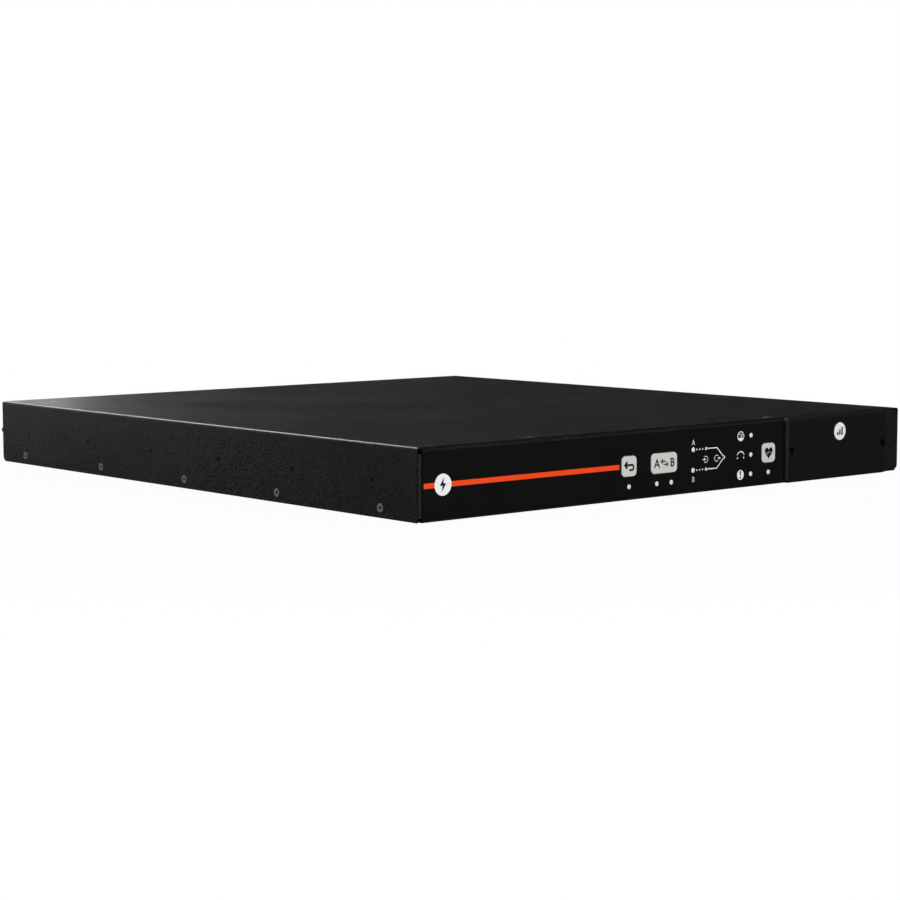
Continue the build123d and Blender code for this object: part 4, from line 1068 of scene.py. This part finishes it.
class POWERUNIT_OT_rear_panel(bpy.types.Operator):
    """Rounds the inlets, breakers and sockets, and threads the breaker necks and the stud"""

    bl_idname = "power_unit.rear_panel"
    bl_label = "Rear Panel"

    def execute(self, context):
        edges = settings("edge")
        for node in ("inlet_a", "inlet_b", "large_socket"):
            rounded_solid(node, edges.moulded_edge)
        for node in ("socket_strip_a", "socket_strip_b", "breaker_a", "breaker_b", "breaker_nuts",
                     "breaker_button_a", "breaker_button_b", "earth_nut", "earth_stud", "inlet_blades"):
            rounded_solid(node, edges.fine_edge)
        self.thread_end("earth_stud", "earth_nut", "earth_stud_thread")
        self.thread_end("breaker_a", "breaker_nuts", "breaker_thread_a")
        self.thread_end("breaker_b", "breaker_nuts", "breaker_thread_b")
        return {"FINISHED"}

    def thread_end(self, node, nut, name):
        """Winds a thread's ridge on the end of a solid that stands out of its nut at the rear."""
        tip_y, rim_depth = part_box(node)[1].y, 0.9 * MM
        work = merged_solid(node)
        rim = [v.co.copy() for v in work.verts if v.co.y > tip_y - rim_depth]
        work.free()
        middle_x, middle_z = ((min(p[i] for p in rim) + max(p[i] for p in rim)) / 2 for i in (0, 2))
        radius = (max(p.x for p in rim) - min(p.x for p in rim)) / 2
        pitch = settings("screws").thread_pitch
        ridge = pitch / 4
        length = tip_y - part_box(nut)[1].y - 3 * ridge
        if length < pitch:
            raise ValueError(node + " doesn't stand out of " + nut)
        start = Vector((middle_x, tip_y - ridge, middle_z)), Vector((0.0, 1.0, 0.0))
        repeated_piece(name, build_thread_tree, [start], {
            "Radius": radius, "Pitch": pitch, "Length": length, "Ridge": ridge,
        }, slot_of(node), smooth=False)


class POWERUNIT_OT_stage(bpy.types.Operator):
    """Builds the white room, the lamps and the camera"""

    bl_idname = "power_unit.stage"
    bl_label = "Stage"

    def execute(self, context):
        self.build_floor()
        self.build_world()
        lamps = (
            ("front_softbox", (-0.9, -1.8, 1.1), 1.3, 32.0),
            ("left_softbox", (-2.0, -0.4, 0.9), 1.2, 5.0),
            ("overhead_softbox", (0.1, -0.2, 2.3), 1.4, 3.0),
            ("rear_softbox", (0.3, 2.3, 0.45), 1.2, 60.0),
            ("right_softbox", (2.0, 0.4, 1.2), 1.2, 14.0),
        )
        for name, place, size, power in lamps:
            self.build_lamp(name, Vector(place), size, power)
        self.build_camera()
        bpy.context.scene.view_settings.view_transform = "Standard"
        return {"FINISHED"}

    def seen_plainly(self, tree, path):
        """1 for rays from the camera, also through clear plastic, and 0 for light that bounces."""
        return math(tree, "MAXIMUM", path.outputs["Is Camera Ray"], path.outputs["Is Transmission Ray"])

    def build_floor(self):
        """A white floor with a faint shadow, dim in reflections but for a glow behind the front."""
        half, sunk = 3.0, 0.05 * MM
        mesh = bpy.data.meshes.new("floor")
        mesh.from_pydata([(-half, -half, 0), (half, -half, 0), (half, half, 0), (-half, half, 0)],
                         [], [[0, 1, 2, 3]])
        floor = new_object("floor", mesh)
        floor.location.z = -sunk
        material = bpy.data.materials.new("floor_white")
        tree = empty_tree(material)
        path = add_node(tree, "ShaderNodeLightPath")
        place = add_node(tree, "ShaderNodeTexCoord").outputs["Object"]
        grey = (0.55, 0.55, 0.55, 1.0)
        plain = add_node(tree, "ShaderNodeBsdfDiffuse", {"Color": grey})
        white = add_node(tree, "ShaderNodeEmission", {"Color": WHITE})
        near, far = 0.35, 0.7
        away = add_node(tree, "ShaderNodeVectorMath", {0: place}, operation="LENGTH").outputs["Value"]
        whiteness = ramp(tree, away, near, far, settings("stage").white, 1.0, smooth=True)
        share = math(tree, "MULTIPLY", self.seen_plainly(tree, path), whiteness)
        lit = add_node(tree, "ShaderNodeMixShader", {0: share, 1: plain.outputs[0], 2: white.outputs[0]})
        gloss = self.floor_gloss(tree, place)
        dim = add_node(tree, "ShaderNodeEmission", {"Color": WHITE, "Strength": gloss})
        mixed = add_node(tree, "ShaderNodeMixShader",
                         {0: path.outputs["Is Glossy Ray"], 1: lit.outputs[0], 2: dim.outputs[0]})
        output = add_node(tree, "ShaderNodeOutputMaterial")
        tree.links.new(mixed.outputs[0], output.inputs["Surface"])
        mesh.materials.append(material)

    def floor_gloss(self, tree, place):
        """How bright the floor is in reflections, with more light behind the front, to the right."""
        everywhere, added = 0.045, 0.4
        left_edge, front_edge = (-0.2, -0.1), (-0.236, -0.2)
        axes = add_node(tree, "ShaderNodeSeparateXYZ", {0: place})
        rightwards = ramp(tree, axes.outputs["X"], *left_edge)
        backwards = ramp(tree, axes.outputs["Y"], *front_edge)
        behind = math(tree, "MULTIPLY", rightwards, backwards)
        return math(tree, "ADD", math(tree, "MULTIPLY", behind, added), everywhere)

    def build_world(self):
        """White to the camera, even to matt surfaces, and dim to gloss but for some soft patches."""
        world = bpy.data.worlds.new("white_room")
        bpy.context.scene.world = world
        world.cycles.sampling_method = "NONE"
        tree = empty_tree(world)
        path = add_node(tree, "ShaderNodeLightPath")
        matt, plain = 0.3, 1.0
        level = add_node(
            tree, "ShaderNodeMix",
            {"Factor": path.outputs["Is Glossy Ray"], "A": matt, "B": self.room_gloss(tree)},
        )
        strength = add_node(
            tree, "ShaderNodeMix",
            {"Factor": self.seen_plainly(tree, path), "A": level.outputs["Result"], "B": plain},
        )
        light = add_node(tree, "ShaderNodeBackground",
                         {"Color": WHITE, "Strength": strength.outputs["Result"]})
        output = add_node(tree, "ShaderNodeOutputWorld")
        tree.links.new(light.outputs[0], output.inputs["Surface"])

    def room_gloss(self, tree):
        """How bright the room is in reflections: dim, with soft patches and a ceiling."""
        way = add_node(tree, "ShaderNodeSeparateXYZ",
                       {0: add_node(tree, "ShaderNodeTexCoord").outputs["Generated"]})
        azimuth = math(tree, "ARCTAN2", way.outputs["X"], way.outputs["Y"])
        height = way.outputs["Z"]
        gloss = 0.045
        for left, right, low, high, soft, level in (
            (-26, 30.7, -0.2, 0.18, 1.2, 2.5),
            (-8, 24, 0.42, 0.66, 3.0, 8.0),
            (-172, -95, -0.3, 0.5, 15.0, 1.3),
            (33, 105, -0.2, 0.7, 3.0, -0.028),
            (-85, -52, 0.2, 0.55, 6.0, 0.4),
            (112, 170, 0.24, 0.55, 6.0, 0.2),
        ):
            window = self.window(tree, azimuth, height, left, right, low, high, soft)
            gloss = math(tree, "ADD", gloss, math(tree, "MULTIPLY", window, level))
        ceiling_foot, ceiling_top, ceiling_level = 0.75, 0.9, 0.25
        ceiling = ramp(tree, height, ceiling_foot, ceiling_top, to_high=ceiling_level, smooth=True)
        return math(tree, "ADD", gloss, ceiling)

    def window(self, tree, azimuth, height, left, right, low, high, soft):
        """A soft-edged patch of the room, between two azimuths in degrees and two heights."""
        sides = math(
            tree, "MULTIPLY",
            ramp(tree, azimuth, radians(left - soft), radians(left + soft), smooth=True),
            ramp(tree, azimuth, radians(right + soft), radians(right - soft), smooth=True),
        )
        edge = radians(soft)
        rise = math(
            tree, "MULTIPLY",
            ramp(tree, height, low - edge, low + edge, smooth=True),
            ramp(tree, height, high + edge, high - edge, smooth=True),
        )
        return math(tree, "MULTIPLY", sides, rise)

    def build_lamp(self, name, place, size, power):
        lamp = bpy.data.lights.new(name, "AREA")
        lamp.shape = "SQUARE"
        lamp.size = size
        lamp.energy = power
        holder = new_object(name, lamp)
        holder.location = place
        holder.rotation_euler = place.to_track_quat("Z", "Y").to_euler()
        holder.visible_glossy = False

    def build_camera(self):
        stage = settings("stage")
        turn = (
            Matrix.Rotation(stage.azimuth, 4, "Z")
            @ Matrix.Rotation(pi / 2 - stage.elevation, 4, "X")
            @ Matrix.Rotation(stage.roll, 4, "Z")
        )
        camera = bpy.data.cameras.new("camera")
        camera.lens = stage.lens
        camera.sensor_width = 36.0
        holder = new_object("camera", camera)
        back = turn.to_3x3() @ Vector((0.0, 0.0, 1.0))
        holder.matrix_world = Matrix.Translation(Vector(stage.target) + back * stage.distance) @ turn
        bpy.context.scene.camera = holder


OPERATORS = (
    POWERUNIT_OT_finishes,
    POWERUNIT_OT_casing,
    POWERUNIT_OT_screws,
    POWERUNIT_OT_front_panel,
    POWERUNIT_OT_keys,
    POWERUNIT_OT_lights,
    POWERUNIT_OT_prints,
    POWERUNIT_OT_module,
    POWERUNIT_OT_rear_panel,
    POWERUNIT_OT_stage,
)

SETTINGS = {
    "finish": FinishSettings,
    "edge": EdgeSettings,
    "print": PrintSettings,
    "screws": ScrewSettings,
    "stage": StageSettings,
}


class POWERUNIT_PT_looks(bpy.types.Panel):
    """Lists the steps and their sizes and colours"""

    bl_idname = "POWERUNIT_PT_looks"
    bl_label = "Power Unit"
    bl_space_type = "VIEW_3D"
    bl_region_type = "UI"
    bl_category = "Power Unit"

    def draw(self, context):
        for operator in OPERATORS:
            self.layout.operator(operator.bl_idname)
        for name, group in SETTINGS.items():
            box = self.layout.box()
            box.label(text=name.capitalize())
            for value in group.__annotations__:
                box.prop(settings(name), value)


def register():
    for cls in (*SETTINGS.values(), *OPERATORS, POWERUNIT_PT_looks):
        bpy.utils.register_class(cls)
    for name, group in SETTINGS.items():
        setattr(bpy.types.Scene, "power_unit_" + name, PointerProperty(type=group))


def unregister():
    for name in SETTINGS:
        delattr(bpy.types.Scene, "power_unit_" + name)
    for cls in (POWERUNIT_PT_looks, *reversed(OPERATORS), *SETTINGS.values()):
        bpy.utils.unregister_class(cls)


def main():
    register()
    for operator in OPERATORS:
        group, step = operator.bl_idname.split(".")
        getattr(getattr(bpy.ops, group), step)()


if __name__ == "__main__":
    main()
